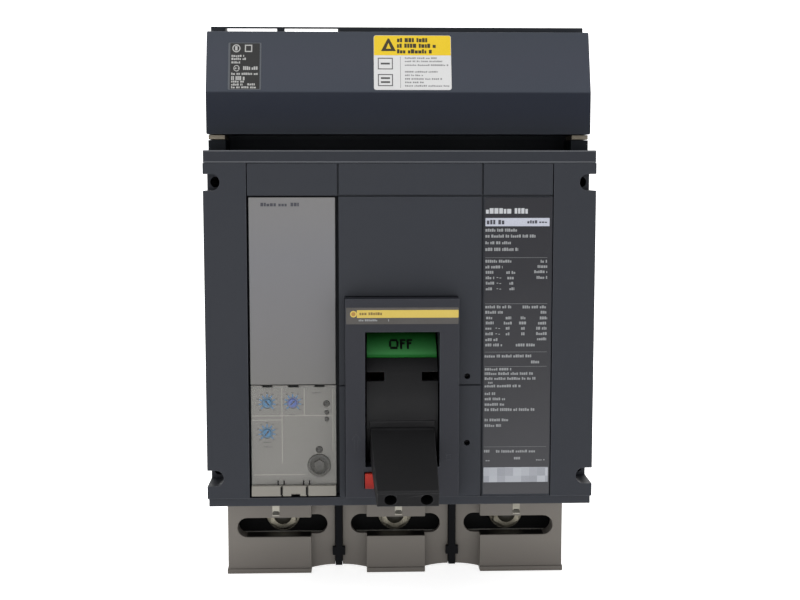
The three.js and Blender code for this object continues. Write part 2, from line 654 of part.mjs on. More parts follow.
function terminalShroud(pole, { raised: [raisedX0, raisedX1], slot: [slotX0, slotX1] }) {
  const x0 = pole - SHROUD_HALF_W;
  const x1 = pole + SHROUD_HALF_W;
  // recessed body, arched beside each barrier
  const outline = [
    [x0, SHROUD_TOP],
    ...(pole < 0 ? [[x0, SHROUD_BOTTOM]] : archPoints(x0, raisedX0)),
    ...(pole > 0 ? [[x1, SHROUD_BOTTOM]] : archPoints(x1, raisedX1).reverse()),
    [x1, SHROUD_TOP],
  ];
  const raisedBack = SHROUD_RECESS + 3;
  const flare = 0.6;              // the foot widens on the outer poles
  const body = join(
    alongY(outline, SHROUD_RECESS, -6),
    box(raisedX0, raisedX1, SHROUD_FRONT, raisedBack, SHROUD_BOTTOM, SHROUD_TOP),
    box(raisedX0 - (pole < 0 ? flare : 0), raisedX1 + (pole > 0 ? flare : 0),
      SHROUD_FRONT - 0.7, raisedBack, SHROUD_BOTTOM, SHROUD_BOTTOM + 3));
  const slotR = (SLOT_TOP - SLOT_BOTTOM) / 2;
  const slotZ = (SLOT_TOP + SLOT_BOTTOM) / 2;
  const slot = roundBar([slotX0 + slotR, slotZ], [slotX1 - slotR, slotZ], slotR, 10);
  const hollowed = cut(body,
    alongY(slot, -70, -50),
    midBox(pole, SHROUD_HALF_W - 2.2, -53.4, 0, -170, SHROUD_TOP - 2.5),
    box(raisedX0 + 2.4, raisedX1 - 2.4, -60.6, -50, -170, SLOT_BOTTOM - 3.2),
    midBox(pole, 16, -34, -5, SHROUD_TOP - 4, SHROUD_TOP + 2));           // open top
  // shelf behind and below the slot
  return join(hollowed, join(
    midBox(pole, SHROUD_HALF_W - 1, -55, -44.8, -142.2, -139.6),
    box(raisedX0 + 1, raisedX1 - 1, -61.5, -50, -142.2, -139.6)));
}

// block with three wire ports, bolted to the load conductor
function lug(pole) {
  const portY = -28.7;
  return cut(midBox(pole, 28, -41, -16.4, -151, -113),
    ...SIDES.map((side) => cylZ(pole + side * 18.5, portY, 7.6, -152, -119, 20)),
    cylZ(pole, portY, 7.0, -152, -136, 20),
    cylY(pole, BOLT_Z, 5.5, -42, -15, 16));
}

// washer, hexagon head and shank, with a bore in the head
function lugBolt(pole) {
  const turned = (radius, y0, y1, segments) => cylY(pole, BOLT_Z, radius, y0, y1, segments);
  return cut(
    join(turned(10.8, -44.1, -41.3, 28), turned(9.3, -49.2, -44.0, 6), turned(5.0, -42, -6.6, 14)),
    turned(3.2, -50, -46.4, 16));
}

// ----------------------------------------------------------------- jaw block
const JAW_TOP = 167;
const JAW_HALF_W = 104.4;
const JAW_FOOT = CASE_TOP + 0.3;
const BRACKET_X = 99.5;
const JAW_COVER = {
  front: -127.9, rear: -102.4, bottom: 106.7, top: 162.8,
  crease: 129.4,                  // height where the front starts to lean back
  topFront: -117.9,               // front edge of the top
};

function jawHousing() {
  const body = join(
    midBox(0, JAW_HALF_W, -102, -2, 106.4, JAW_TOP),
    midBox(0, 104.2, -100, -2, JAW_FOOT, 106.5),
    ...SIDES.map((side) => midBox(side * BRACKET_X, 4.7, -125, -99, JAW_FOOT, 103.6)));
  return cut(body,
    box(-96.3, -33.6, -99.2, -1, 160.2, JAW_TOP + 1),                     // lowered left third
    box(-96.3, -67.6, -103, -98, 162.9, 166.2),                           // openings under the
    box(-63.4, -33.6, -103, -98, 162.9, 166.2),                           // top of the front rail
    ...BUS_Y.map((y) => midBox(0, JAW_HALF_W + 1, y - 5.5, y + 5.5, 119, JAW_TOP + 1)),
    // room for each line conductor and its jaw
    ...POLES.flatMap((pole, i) => [
      midBox(pole, 13.5, Math.min(BUS_Y[i] - 10, -42), Math.max(BUS_Y[i] + 10, -31),
        CASE_TOP - 1, 112.2),
      midBox(pole, 13.5, BUS_Y[i] - 9, BUS_Y[i] + 9, 110, 158.5),
    ]));
}

// thin shell open to the rear
function jawCover() {
  const { front, rear, bottom, top, crease, topFront } = JAW_COVER;
  const wall = 2.6;
  const outer = [[rear, bottom], [rear, top], [topFront, top], [front, crease], [front, bottom]];
  const inner = [
    [rear + 2, bottom + wall], [rear + 2, top - wall], [topFront + 2.7, top - wall],
    [front + wall, crease - 0.4], [front + wall, bottom + wall],
  ];
  return cut(midPrism(outer, 0, CASE_HALF_W), midPrism(inner, 0, CASE_HALF_W - wall));
}

const jawBracket = (side) => cut(
  midBox(side * BRACKET_X, 4.5, -125.6, -104.5, 103.9, 106.4),
  cylZ(side * BRACKET_X, -111, 1.8, 100, 110, 16));

// ------------------------------------------------------------------ assembly
add('base_case', baseCase(), FINISH.base);
add('front_cover', frontCover(), FINISH.cover);
add('accessory_cover', accessoryCover(), FINISH.cover);
add('handle_bezel', handleBezel(), FINISH.bezel);

add('handle', handle(), FINISH.handle);
add('off_flag', flag(FLAG_R, 40.5, 86), FINISH.green);
add('on_flag', flag(FLAG_R - 0.4, -128, -90), FINISH.red);
add('handle_pin', midCyl(HANDLE_PIVOT, 3.5, HANDLE_X, 26.6, 24), FINISH.smoothSteel);
add('toggle_spring', toggleSpring(), FINISH.silver);

add('mechanism_frame', mechanismFrame(), FINISH.steel);
add('cradle', cradle(), FINISH.steel);
add('upper_link', upperLink(), FINISH.steel);
add('lower_link', lowerLink(), FINISH.steel);
add('crossbar', crossbar(), FINISH.crossbar);
POLES.forEach((pole, i) => {
  add(`contact_arm_${POLE_NAMES[i]}`, contactArm(pole), FINISH.copper);
});
add('trip_bar', tripBar(), FINISH.tripBar);
add('trip_button', tripButton(), FINISH.tripButton);
add('flux_shifter', fluxShifter(), FINISH.fluxShifter);
add('flux_plunger', fluxPlunger(), FINISH.smoothSteel);

add('trip_unit_housing', tripUnitHousing(), FINISH.tripHousing);
add('trip_circuit_board', circuitBoard(), FINISH.circuitBoard);
add('trip_unit_cover', tripUnitCover(), FINISH.tripCover);
add('dial_panel', dialPanel(), FINISH.dialPanel);
DIALS.forEach((place, i) => add(`dial_${i + 1}`, dial(place), FINISH.dial));
add('status_lamps', statusLamps(), FINISH.lamps);
add('test_socket', testSocket(), FINISH.socket);
add('dial_cover', dialCover(), FINISH.dialDoor);
add('trip_unit_strip', tripUnitStrip(), FINISH.clipStrip);

POLES.forEach((pole, i) => {
  const name = POLE_NAMES[i];
  add(`arc_chute_${name}`, arcChute(pole), FINISH.arcChute);
  add(`line_conductor_${name}`, lineConductor(pole, BUS_Y[i]), FINISH.copper);
  add(`jaw_${name}`, jaw(pole, BUS_Y[i]), FINISH.copper);
  add(`load_conductor_${name}`, loadConductor(pole), FINISH.copper);
  add(`current_transformer_${name}`, currentTransformer(pole), FINISH.transformer);
});
POLES.forEach((pole, i) => {
  const name = POLE_NAMES[i];
  add(`terminal_shroud_${name}`, terminalShroud(pole, SHROUDS[i]), FINISH.shroud);
  add(`lug_${name}`, lug(pole), FINISH.lug);
  add(`lug_bolt_${name}`, lugBolt(pole), FINISH.silver);
});

add('jaw_housing', jawHousing(), FINISH.jawHousing);
add('jaw_cover', jawCover(), FINISH.jawCover);
add('jaw_bracket_left', jawBracket(-1), FINISH.bracket);
add('jaw_bracket_right', jawBracket(1), FINISH.bracket);

export default assembly;
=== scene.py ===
"""Three-pole moulded-case circuit breaker with its jaw housing on top.

The front faces -Y, Z is up and X runs across the three poles. Lengths below are
millimetres unless a comment says metres; add_mesh and dress turn them into metres.
"""
import math
import random

import bmesh
import bpy
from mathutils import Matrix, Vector


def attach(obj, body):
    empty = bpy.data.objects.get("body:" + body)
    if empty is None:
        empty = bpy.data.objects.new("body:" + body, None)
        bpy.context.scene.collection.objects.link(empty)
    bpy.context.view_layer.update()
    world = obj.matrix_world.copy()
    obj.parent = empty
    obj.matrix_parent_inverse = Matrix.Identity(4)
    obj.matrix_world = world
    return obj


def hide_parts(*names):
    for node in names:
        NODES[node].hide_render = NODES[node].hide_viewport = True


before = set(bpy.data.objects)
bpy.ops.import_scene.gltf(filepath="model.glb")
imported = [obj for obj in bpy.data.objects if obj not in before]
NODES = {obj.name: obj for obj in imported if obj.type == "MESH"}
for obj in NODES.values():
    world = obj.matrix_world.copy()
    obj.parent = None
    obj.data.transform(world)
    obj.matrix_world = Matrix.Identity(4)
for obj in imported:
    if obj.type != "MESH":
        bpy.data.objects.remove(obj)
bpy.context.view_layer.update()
SCENE = bpy.context.scene
MM = 0.001

POLE_PITCH = 70.0
POLES = (("left", -POLE_PITCH), ("middle", 0.0), ("right", POLE_PITCH))

# Depth (y) of the flat front faces
COVER_Y = -147.0
BEZEL_Y = -159.0
TRIP_Y = -147.1
PANEL_Y = -144.9
DOOR_Y = -147.7
SOCKET_RIM_Y = -146.0
SOCKET_FACE_Y = -145.0
STRIP_Y = -147.4

# The jaw cover's sloping face, as (y, z) at its two ends
SLOPE_LOW = (-127.9, 129.4)
SLOPE_HIGH = (-117.9, 162.8)

# The drum that carries the coloured flags turns about this line along X
DRUM_Y = -115.0
DRUM_Z = -40.0

# =====================================================================
# colour
# =====================================================================
FRONT_LIGHT = 1.33      # light reaching the front faces
FRONT_MIRROR = 0.0236   # the part of it that is mirrored


def srgb(r, g, b):
    """Linear RGBA of a 0-255 colour."""
    linear = []
    for c in (r, g, b):
        c = c / 255.0
        linear.append(c / 12.92 if c <= 0.04045 else ((c + 0.055) / 1.055) ** 2.4)
    return tuple(linear) + (1.0,)


def seen(r, g, b, light=FRONT_LIGHT, mirror=FRONT_MIRROR):
    """Base colour (0-255) that looks like r, g, b under the studio light."""
    base = []
    for c in srgb(r, g, b)[:3]:
        c = min(0.95, max(0.0012, (c - mirror) / light))
        c = c * 12.92 if c <= 0.0031308 else 1.055 * c ** (1 / 2.4) - 0.055
        base.append(255.0 * c)
    return tuple(base)


def tones(*rows, **studio):
    """Colour stops over height, from rows of (z, r, g, b) as seen."""
    return [(z, seen(*rgb, **studio)) for z, *rgb in rows]


def scaled(colour, factor):
    return tuple(min(1.0, c * factor) for c in colour[:3]) + (1.0,)


# =====================================================================
# node trees
# =====================================================================
MATERIALS = {}


class Graph:
    """A shader node tree with short ways to add nodes to it."""

    def __init__(self, tree):
        self.tree = tree

    def feed(self, socket, value):
        """Links a socket to an output, or sets its value."""
        if isinstance(value, bpy.types.NodeSocket):
            self.tree.links.new(value, socket)
        else:
            socket.default_value = value

    def node(self, kind, inputs=(), operation=None):
        node = self.tree.nodes.new("ShaderNode" + kind)
        if operation:
            node.operation = operation
        for key, value in dict(inputs).items():
            self.feed(node.inputs[key], value)
        return node

    def ramp(self, value, span=(0.3, 0.7), to=(0.0, 1.0)):
        """Maps the range span onto the range to."""
        return self.node("MapRange", {"From Min": span[0], "From Max": span[1], "To Min": to[0],
                                      "To Max": to[1], "Value": value}).outputs["Result"]

    def mix(self, factor, first, second):
        node = self.node("Mix")
        node.data_type = "RGBA"
        self.feed(node.inputs["Factor"], factor)
        colours = {socket.name: socket for socket in node.inputs if socket.type == "RGBA"}
        self.feed(colours["A"], first)
        self.feed(colours["B"], second)
        return next(socket for socket in node.outputs if socket.type == "RGBA")

    def vary(self, pattern, base, amount, span=(0.3, 0.7)):
        """A colour that the pattern makes darker and lighter by amount."""
        return self.mix(self.ramp(pattern, span), scaled(base, 1 - amount),
                        scaled(base, 1 + amount))


class Surface(Graph):
    """A new material: its tree, its principled shader and its object coordinates."""

    def __init__(self, name):
        self.material = bpy.data.materials.new("m_" + name)
        self.material.use_nodes = True
        super().__init__(self.material.node_tree)
        self.bsdf = self.tree.nodes["Principled BSDF"]
        self.coords = self.node("TexCoord").outputs["Object"]
        MATERIALS[name] = self.material

    def set(self, name, value):
        self.feed(self.bsdf.inputs[name], value)

    def noise(self, scale, detail=3.0, roughness=0.55, stretch=None):
        node = self.node("TexNoise", {"Scale": scale, "Detail": detail, "Roughness": roughness})
        where = self.coords
        if stretch:
            where = self.node("Mapping", {"Scale": stretch, "Vector": where}).outputs["Vector"]
        self.feed(node.inputs["Vector"], where)
        return node.outputs["Fac"]

    def height(self):
        return self.node("SeparateXYZ", {0: self.coords}).outputs["Z"]

    def bevel(self, radius, samples):
        """Normal as if edges were rounded; radius in metres."""
        node = self.node("Bevel", {"Radius": radius})
        node.samples = samples
        return node.outputs["Normal"]

    def edge_mask(self, radius, gain):
        """1 along rounded edges, 0 on open faces."""
        rounded = self.bevel(radius, samples=4)
        flat = self.node("NewGeometry").outputs["True Normal"]
        dot = self.node("VectorMath", {0: rounded, 1: flat}, "DOT_PRODUCT")
        return self.ramp(dot.outputs["Value"], span=(1.0, 1.0 - gain))

    def bump(self, height, strength, distance):
        """Relief node; distance in metres."""
        return self.node("Bump", {"Strength": strength, "Distance": distance, "Height": height})


def plastic(name, rgb, rough=0.5, grain=0.22, grain_scale=1500.0, mottle=0.05,
            mottle_scale=22.0, spec=0.22, edge=0.0, edge_rgb=None, scratch=0.0,
            stops=None, dull=None, soft=0.0):
    """Moulded plastic with fine grain and slow mottling.

    stops: colours over height, (z, rgb). dull: (low z, high z, mirror level at the low z).
    edge: how strongly edges take edge_rgb, a painted highlight along edges (painted shade where
    edge_rgb is darker). soft: radius that edges are shaded with.
    """
    surface = Surface(name)
    base = srgb(*rgb)
    cloud = surface.noise(scale=mottle_scale, detail=4.0)
    colour = surface.vary(cloud, base, mottle)
    fine = surface.noise(scale=grain_scale, detail=2.0)
    colour = surface.mix(surface.ramp(fine, span=(0.35, 0.65), to=(0.0, 0.10)), colour,
                         scaled(base, 1.35))
    if stops:
        low, high = stops[0][0], stops[-1][0]
        z = surface.height()
        gradient = surface.node("ValToRGB")
        elements = gradient.color_ramp.elements
        elements[0].position, elements[0].color = 0.0, srgb(*stops[0][1])
        elements[1].position, elements[1].color = 1.0, srgb(*stops[-1][1])
        for stop_z, stop_rgb in stops[1:-1]:
            elements.new((stop_z - low) / (high - low)).color = srgb(*stop_rgb)
        surface.feed(gradient.inputs["Fac"], surface.ramp(z, span=(low * MM, high * MM)))
        stops_share = 0.88
        colour = surface.mix(stops_share, colour, gradient.outputs["Color"])
    if edge > 0:
        # painted highlight along edges, broken up by noise; painted edge shade where edge_rgb is
        # darker than the base
        mask = surface.edge_mask(radius=0.0007, gain=0.22)
        edge_light_breakup = surface.ramp(surface.noise(scale=160.0), span=(0.35, 0.7), to=(0.45, 1.0))
        painted_edge_light = surface.node("Math", {0: mask, 1: edge_light_breakup}, "MULTIPLY").outputs[0]
        painted_edge_light = surface.node("Math", {0: painted_edge_light, 1: edge}, "MULTIPLY").outputs[0]
        colour = surface.mix(painted_edge_light, colour, srgb(*(edge_rgb or [min(255, c + 70) for c in rgb])))
    if scratch > 0:
        lines = surface.noise(scale=60.0, detail=6.0, roughness=0.7, stretch=(1.0, 6.0, 14.0))
        colour = surface.mix(surface.ramp(lines, span=(0.62, 0.70), to=(0.0, scratch)), colour,
                             scaled(base, 2.2))
    surface.set("Base Color", colour)
    surface.set("Roughness", surface.ramp(cloud, to=(rough - 0.04, rough + 0.06)))
    surface.set("Specular IOR Level", spec)
    if dull:
        low, high, level = dull
        surface.set("Specular IOR Level", surface.ramp(
            surface.height(), span=(low * MM, high * MM), to=(level, spec)))
    grain_bump = surface.bump(fine, strength=grain, distance=0.00006)
    waves = surface.bump(surface.noise(scale=14.0, detail=2.0), strength=0.05, distance=0.0006)
    if soft:
        surface.feed(waves.inputs["Normal"], surface.bevel(soft * MM, samples=6))
    surface.feed(grain_bump.inputs["Normal"], waves.outputs["Normal"])
    surface.set("Normal", grain_bump.outputs["Normal"])


def metal(name, rgb, rough, stretch, streak, tarnish=None, bump=0.15):
    """Streaked metal, with patches of the tarnish colour."""
    surface = Surface(name)
    base = srgb(*rgb)
    streaks = surface.noise(scale=420.0, detail=4.0, roughness=0.6, stretch=stretch)
    colour = surface.vary(streaks, base, streak)
    patches = surface.noise(scale=70.0, detail=5.0, roughness=0.62)
    if tarnish:
        colour = surface.mix(surface.ramp(patches, span=(0.45, 0.72), to=(0.0, 0.75)), colour,
                             srgb(*tarnish))
    surface.set("Base Color", colour)
    surface.set("Metallic", 1.0)
    surface.set("Roughness", surface.ramp(patches, to=(rough - 0.06, rough + 0.12)))
    relief = surface.bump(streaks, strength=bump, distance=0.00004)
    surface.set("Normal", relief.outputs["Normal"])


def ink(name, rgb, rough, variation):
    """Printed film: thin ink with fine dot noise."""
    surface = Surface(name)
    dots = surface.noise(scale=2600.0, detail=2.0)
    surface.set("Base Color", surface.vary(dots, srgb(*seen(*rgb)), variation,
                                           span=(0.35, 0.65)))
    surface.set("Roughness", surface.ramp(surface.noise(scale=90.0),
                                          to=(rough - 0.06, rough + 0.08)))
    relief = surface.bump(dots, strength=0.12, distance=0.00003)
    surface.set("Normal", relief.outputs["Normal"])


def clear(name, rgb, opacity, rough):
    """Thin clear moulding: mostly see-through, denser along its edges."""
    surface = Surface(name)
    cloud = surface.noise(scale=30.0)
    surface.set("Base Color", surface.vary(cloud, srgb(*rgb), 0.03))
    surface.set("Roughness", surface.ramp(cloud, to=(rough - 0.03, rough + 0.07)))
    through = surface.node("BsdfTransparent", {"Color": (0.965, 0.962, 0.955, 1)})
    mask = surface.edge_mask(radius=0.0006, gain=0.25)
    share = surface.ramp(mask, span=(0.0, 1.0), to=(opacity, opacity + 0.35))
    mixed = surface.node("MixShader", {0: share, 1: through.outputs[0],
                                       2: surface.bsdf.outputs[0]})
    surface.feed(surface.tree.nodes["Material Output"].inputs["Surface"], mixed.outputs[0])


def cell_patch(name):
    """Pale label: soft square cells of slightly different grey."""
    cell = (0.0044, 1.0, 0.0044)    # metres
    surface = Surface(name)
    snapped = surface.node("VectorMath", {0: surface.coords, 1: cell}, "SNAP").outputs[0]
    shade_of_cell = surface.node("TexWhiteNoise", {"Vector": snapped}).outputs["Value"]
    colour = surface.mix(surface.ramp(shade_of_cell, span=(0.0, 1.0)),
                         srgb(*seen(146, 149, 156)), srgb(*seen(182, 185, 192)))
    dots = surface.noise(scale=2400.0, detail=2.0)
    colour = surface.mix(surface.ramp(dots, span=(0.35, 0.65), to=(0.0, 0.15)), colour,
                         srgb(*seen(196, 198, 202)))
    surface.set("Base Color", colour)
    surface.set("Roughness", surface.ramp(dots, to=(0.42, 0.56)))


# =====================================================================
# materials
# =====================================================================
CASE_RGB = (61, 63, 68)
CASE_GREY = seen(*CASE_RGB)
CASE_SKIN = dict(rough=0.52, mottle_scale=16)
FLAG_SKIN = dict(grain=0.08, grain_scale=1600, mottle=0.04, mottle_scale=60)
DIAL_SKIN = dict(grain=0.08, mottle_scale=120)
DIM = dict(mirror=0.012)    # handle: less mirrored light

# edge and edge_rgb below paint highlights along edges; on the dials edge_rgb is darker and paints
# edge shade
plastic("case", CASE_GREY, **CASE_SKIN, edge=0.50, edge_rgb=seen(112, 115, 120), soft=0.35)
# darker and less mirrored from z -97.4 to -95.0: painted shade along the bottom of the base
plastic("base_case", CASE_GREY, **CASE_SKIN, edge=0.12, edge_rgb=seen(70, 72, 76),
        stops=tones((-97.4, 24, 24, 25), mirror=0.004)
        + tones((-95.0, *CASE_RGB), (97.8, *CASE_RGB)),
        dull=(-97.4, -95.0, 0.04), soft=0.45)
plastic("case_face", CASE_GREY, **CASE_SKIN)
plastic("case_ledge", seen(58, 60, 65), **CASE_SKIN, edge=0.75, edge_rgb=seen(118, 120, 124))
# light colour for strips on the ledge's edges: painted highlight
plastic("ledge_highlight", seen(102, 104, 108), rough=0.48, grain=0.12, mottle_scale=30)
plastic("cover", CASE_GREY, mottle_scale=16, edge=0.22, edge_rgb=seen(86, 89, 94))
plastic("bezel", seen(59, 60, 65), rough=0.48, grain=0.20, grain_scale=1700, mottle=0.04,
        mottle_scale=20, edge=0.34, edge_rgb=seen(112, 116, 122))
# darker and less mirrored from z 97 to 105, in the gap under the jaw cover: painted shade
plastic("jaw_housing", seen(53, 56, 61), rough=0.52, grain=0.25, mottle=0.06,
        mottle_scale=18, edge=0.3, edge_rgb=seen(92, 96, 100),
        stops=tones((97.0, 34, 36, 39), (105.0, 32, 34, 37), mirror=0.01)
        + tones((109.0, 53, 56, 61), (167.0, 53, 56, 61)),
        dull=(104.0, 109.0, 0.09))
# darker below the crease at z 129.4: painted shade on the lower front face
plastic("jaw_cover", seen(77, 81, 89), rough=0.46, grain=0.20, mottle_scale=12, spec=0.18,
        edge=0.32, edge_rgb=seen(104, 108, 114),
        stops=tones((106.7, 39, 42, 48), (118.0, 40, 43, 52), (128.9, 43, 46, 55),
                    (129.9, 76, 80, 89), (146.0, 77, 80, 89), (162.8, 75, 79, 87),
                    mirror=0.018))
metal("bracket", (112, 106, 95), rough=0.5, stretch=(1, 10, 1), streak=0.08)
# darker below z -74.4 and lightest at z -72.9: painted shade on the lower end and a painted
# highlight band
plastic("handle", seen(45, 45, 46, **DIM), rough=0.46, grain=0.20, grain_scale=1900,
        mottle_scale=30, spec=0.13, edge=0.6, edge_rgb=seen(92, 92, 93), scratch=0.05,
        stops=tones((-82.0, 34, 34, 35), (-74.4, 34, 34, 35), (-72.9, 48, 48, 49),
                    (-30.0, 43, 43, 44), (2.0, 42, 42, 43), **DIM))
# dark lip at z -14, light line at z -11.6, darker towards z -1.6: painted shade on the lip and
# under the bezel, with a painted highlight line
plastic("flag_green", seen(50, 120, 60), rough=0.36, **FLAG_SKIN, edge=0.15,
        edge_rgb=seen(90, 160, 100),
        stops=tones((-14.0, 28, 84, 36), (-12.9, 48, 112, 56), (-11.6, 92, 164, 102),
                    (-6.0, 72, 140, 82), (-1.6, 34, 90, 42)))
plastic("flag_red", seen(160, 48, 40), rough=0.34, **FLAG_SKIN, edge=0.2,
        edge_rgb=seen(200, 90, 80))
# darker towards the bottom: painted shade
plastic("button_red", seen(172, 56, 46), rough=0.40, grain=0.10, grain_scale=1600,
        mottle_scale=80, edge=0.2, edge_rgb=seen(205, 92, 82),
        stops=tones((-82.3, 120, 36, 34), (-79.5, 158, 48, 42), (-74.1, 178, 60, 50)))
metal("bright_steel", (226, 223, 214), rough=0.28, stretch=(1, 1, 9), streak=0.10,
      tarnish=(176, 172, 160))
metal("tab_metal", (150, 147, 138), rough=0.50, stretch=(1, 1, 9), streak=0.06,
      tarnish=(120, 116, 104))
metal("bolt_steel", (124, 120, 108), rough=0.26, stretch=(6, 1, 1), streak=0.20,
      tarnish=(66, 62, 52))
plastic("bolt_dome", (46, 44, 38), rough=0.34, grain=0.15, mottle=0.12, mottle_scale=90,
        spec=0.35)
metal("mech_steel", (168, 167, 162), rough=0.34, stretch=(1, 1, 10), streak=0.10,
      tarnish=(120, 114, 104))
plastic("crossbar", (80, 62, 48), rough=0.6, grain=0.4, grain_scale=900, mottle=0.10,
        mottle_scale=40, edge=0.25)
plastic("trip_grey", seen(127, 127, 130), rough=0.54, grain=0.20, mottle=0.02,
        mottle_scale=10, edge=0.35, edge_rgb=seen(168, 166, 158),
        stops=tones((-28.0, 125, 124, 122), (0.0, 126, 125, 126), (40.0, 127, 127, 130),
                    (72.8, 131, 130, 130)))
plastic("trip_housing", seen(108, 108, 110), rough=0.56, mottle=0.03, mottle_scale=12,
        edge=0.2)
plastic("dial_panel", seen(147, 146, 144), grain=0.10, mottle=0.02, mottle_scale=16,
        edge=0.22, edge_rgb=seen(160, 158, 150))
plastic("strip", seen(144, 141, 134), rough=0.52, grain=0.20, mottle=0.04, mottle_scale=30,
        edge=0.30, edge_rgb=seen(168, 164, 154))
plastic("lamp", seen(62, 60, 60), rough=0.30, grain=0.05, grain_scale=2000,
        mottle_scale=90, spec=0.4)
plastic("socket", seen(96, 95, 93), rough=0.42, grain=0.20, grain_scale=1700, mottle=0.06,
        mottle_scale=60, edge=0.3, edge_rgb=seen(124, 122, 118))
plastic("pcb", (42, 88, 58), rough=0.35, grain=0.2, grain_scale=1200, mottle=0.10,
        mottle_scale=90)
metal("arc_plate", (132, 126, 116), rough=0.46, stretch=(1, 8, 1), streak=0.14,
      tarnish=(90, 84, 76), bump=0.3)
metal("copper", (204, 136, 92), rough=0.32, stretch=(1, 1, 10), streak=0.10,
      tarnish=(140, 92, 62))
metal("silvered_copper", (206, 196, 180), rough=0.30, stretch=(1, 1, 10), streak=0.08,
      tarnish=(176, 150, 116))
plastic("transformer", (42, 42, 44), rough=0.55, grain=0.35, grain_scale=1200, mottle=0.08,
        mottle_scale=40, edge=0.25)
# darker at the bottom edge (z -159.4) and at the top under the case (z -97.2): painted shade
plastic("shroud", seen(114, 110, 105, light=1.0), grain=0.20, grain_scale=1400,
        mottle=0.035, mottle_scale=14, edge=0.30, edge_rgb=seen(138, 134, 128, light=1.0),
        stops=tones((-159.4, 94, 90, 86), (-157.0, 101, 97, 93), (-140.0, 116, 112, 107),
                    (-122.0, 117, 113, 108), (-97.2, 108, 104, 100), light=1.0))
metal("lug", (186, 185, 180), rough=0.36, stretch=(1, 1, 8), streak=0.07,
      tarnish=(150, 148, 142))
metal("spring", (190, 188, 182), rough=0.24, stretch=(9, 1, 1), streak=0.06)
plastic("dial_blue", seen(88, 140, 184), rough=0.36, **DIAL_SKIN, edge=0.35,
        edge_rgb=seen(60, 96, 128))
plastic("dial_violet", seen(104, 126, 196), rough=0.36, **DIAL_SKIN, edge=0.35,
        edge_rgb=seen(62, 72, 128))
plastic("dial_skirt", seen(116, 142, 164), rough=0.42, **DIAL_SKIN)
plastic("dial_skirt_v", seen(124, 130, 166), rough=0.42, **DIAL_SKIN)
clear("clear_door", (150, 150, 146), opacity=0.06, rough=0.22)
# black of the door forks, and painted shade in slots, recesses and gaps
plastic("black_recess", (9, 9, 10), rough=0.6, grain=0.2, mottle=0.1, mottle_scale=60,
        spec=0.1)
# dark glossy colour of the sheets on the shroud ledges: painted shade
plastic("glossy_shelf", (22, 20, 18), rough=0.42, grain=0.1, mottle=0.1, mottle_scale=60,
        spec=0.35)
# lighter towards the bottom: painted sheen
plastic("rating_film", seen(62, 63, 66), rough=0.42, grain=0.10, grain_scale=2200,
        mottle=0.03, mottle_scale=12, spec=0.24,
        stops=tones((-89.0, 82, 82, 85), (-30.0, 70, 70, 73), (30.0, 56, 56, 60),
                    (73.0, 54, 54, 58)))

# name, colour as seen, roughness, how much the dots vary it
INKS = (
    ("ink_light", (146, 148, 150), 0.55, 0.08), ("ink_headline", (196, 198, 202), 0.55, 0.08),
    ("ink_bar", (190, 193, 206), 0.55, 0.08), ("ink_dark", (66, 66, 74), 0.55, 0.08),
    ("ink_faint", (92, 92, 92), 0.55, 0.08), ("ink_cell", (184, 182, 176), 0.55, 0.08),
    ("ink_line", (112, 114, 116), 0.55, 0.08), ("ink_tick", (84, 136, 184), 0.55, 0.08),
    ("bezel_film", (80, 77, 74), 0.5, 0.05), ("stripe_yellow", (211, 185, 86), 0.45, 0.04),
    ("mark_ochre", (170, 128, 62), 0.45, 0.05), ("ink_brown", (128, 106, 52), 0.5, 0.06),
    ("notice_yellow", (242, 207, 48), 0.42, 0.04), ("notice_white", (228, 228, 228), 0.45, 0.03),
    ("notice_dark", (66, 60, 36), 0.5, 0.06), ("notice_grey", (140, 140, 141), 0.5, 0.08),
    ("approval_black", (36, 37, 40), 0.4, 0.10), ("approval_border", (92, 96, 102), 0.5, 0.05),
    ("approval_light", (186, 186, 184), 0.5, 0.08), ("flag_letters", (22, 30, 24), 0.5, 0.05),
)
for ink_row in INKS:
    ink(*ink_row)
cell_patch("serial_patch")


# =====================================================================
# outlines: lists of (a, b) points
# =====================================================================
def rect(a0, a1, b0, b1):
    return [(a0, b0), (a1, b0), (a1, b1), (a0, b1)]


def round_rect(a0, a1, b0, b1, radius):
    steps = 6
    corners = ((a1 - radius, b0 + radius, -90), (a1 - radius, b1 - radius, 0),
               (a0 + radius, b1 - radius, 90), (a0 + radius, b0 + radius, 180))
    points = []
    for a, b, start in corners:
        for i in range(steps + 1):
            angle = math.radians(start + 90 * i / steps)
            points.append((a + radius * math.cos(angle), b + radius * math.sin(angle)))
    return points


def circle(a, b, radius, sides=28):
    angles = [2 * math.pi * i / sides for i in range(sides)]
    return [(a + radius * math.cos(t), b + radius * math.sin(t)) for t in angles]


def inset(outline, distance):
    """Shrinks a convex outline that runs counter-clockwise."""
    shrunk = []
    for i, (a, b) in enumerate(outline):
        a_before, b_before = outline[i - 1]
        a_after, b_after = outline[(i + 1) % len(outline)]
        inward = (Vector((b_before - b, a - a_before)).normalized()
                  + Vector((b - b_after, a_after - a)).normalized())
        move = inward.normalized() * (distance / (inward.length / 2))
        shrunk.append((a + move.x, b + move.y))
    return shrunk


def radial_bar(a, b, degrees, inner, outer, half_width):
    """Short bar along a radius about (a, b)."""
    cos, sin = math.cos(math.radians(degrees)), math.sin(math.radians(degrees))
    corners = ((inner, half_width), (inner, -half_width), (outer, -half_width),
               (outer, half_width))
    return [(a + r * cos - w * sin, b + r * sin + w * cos) for r, w in corners]


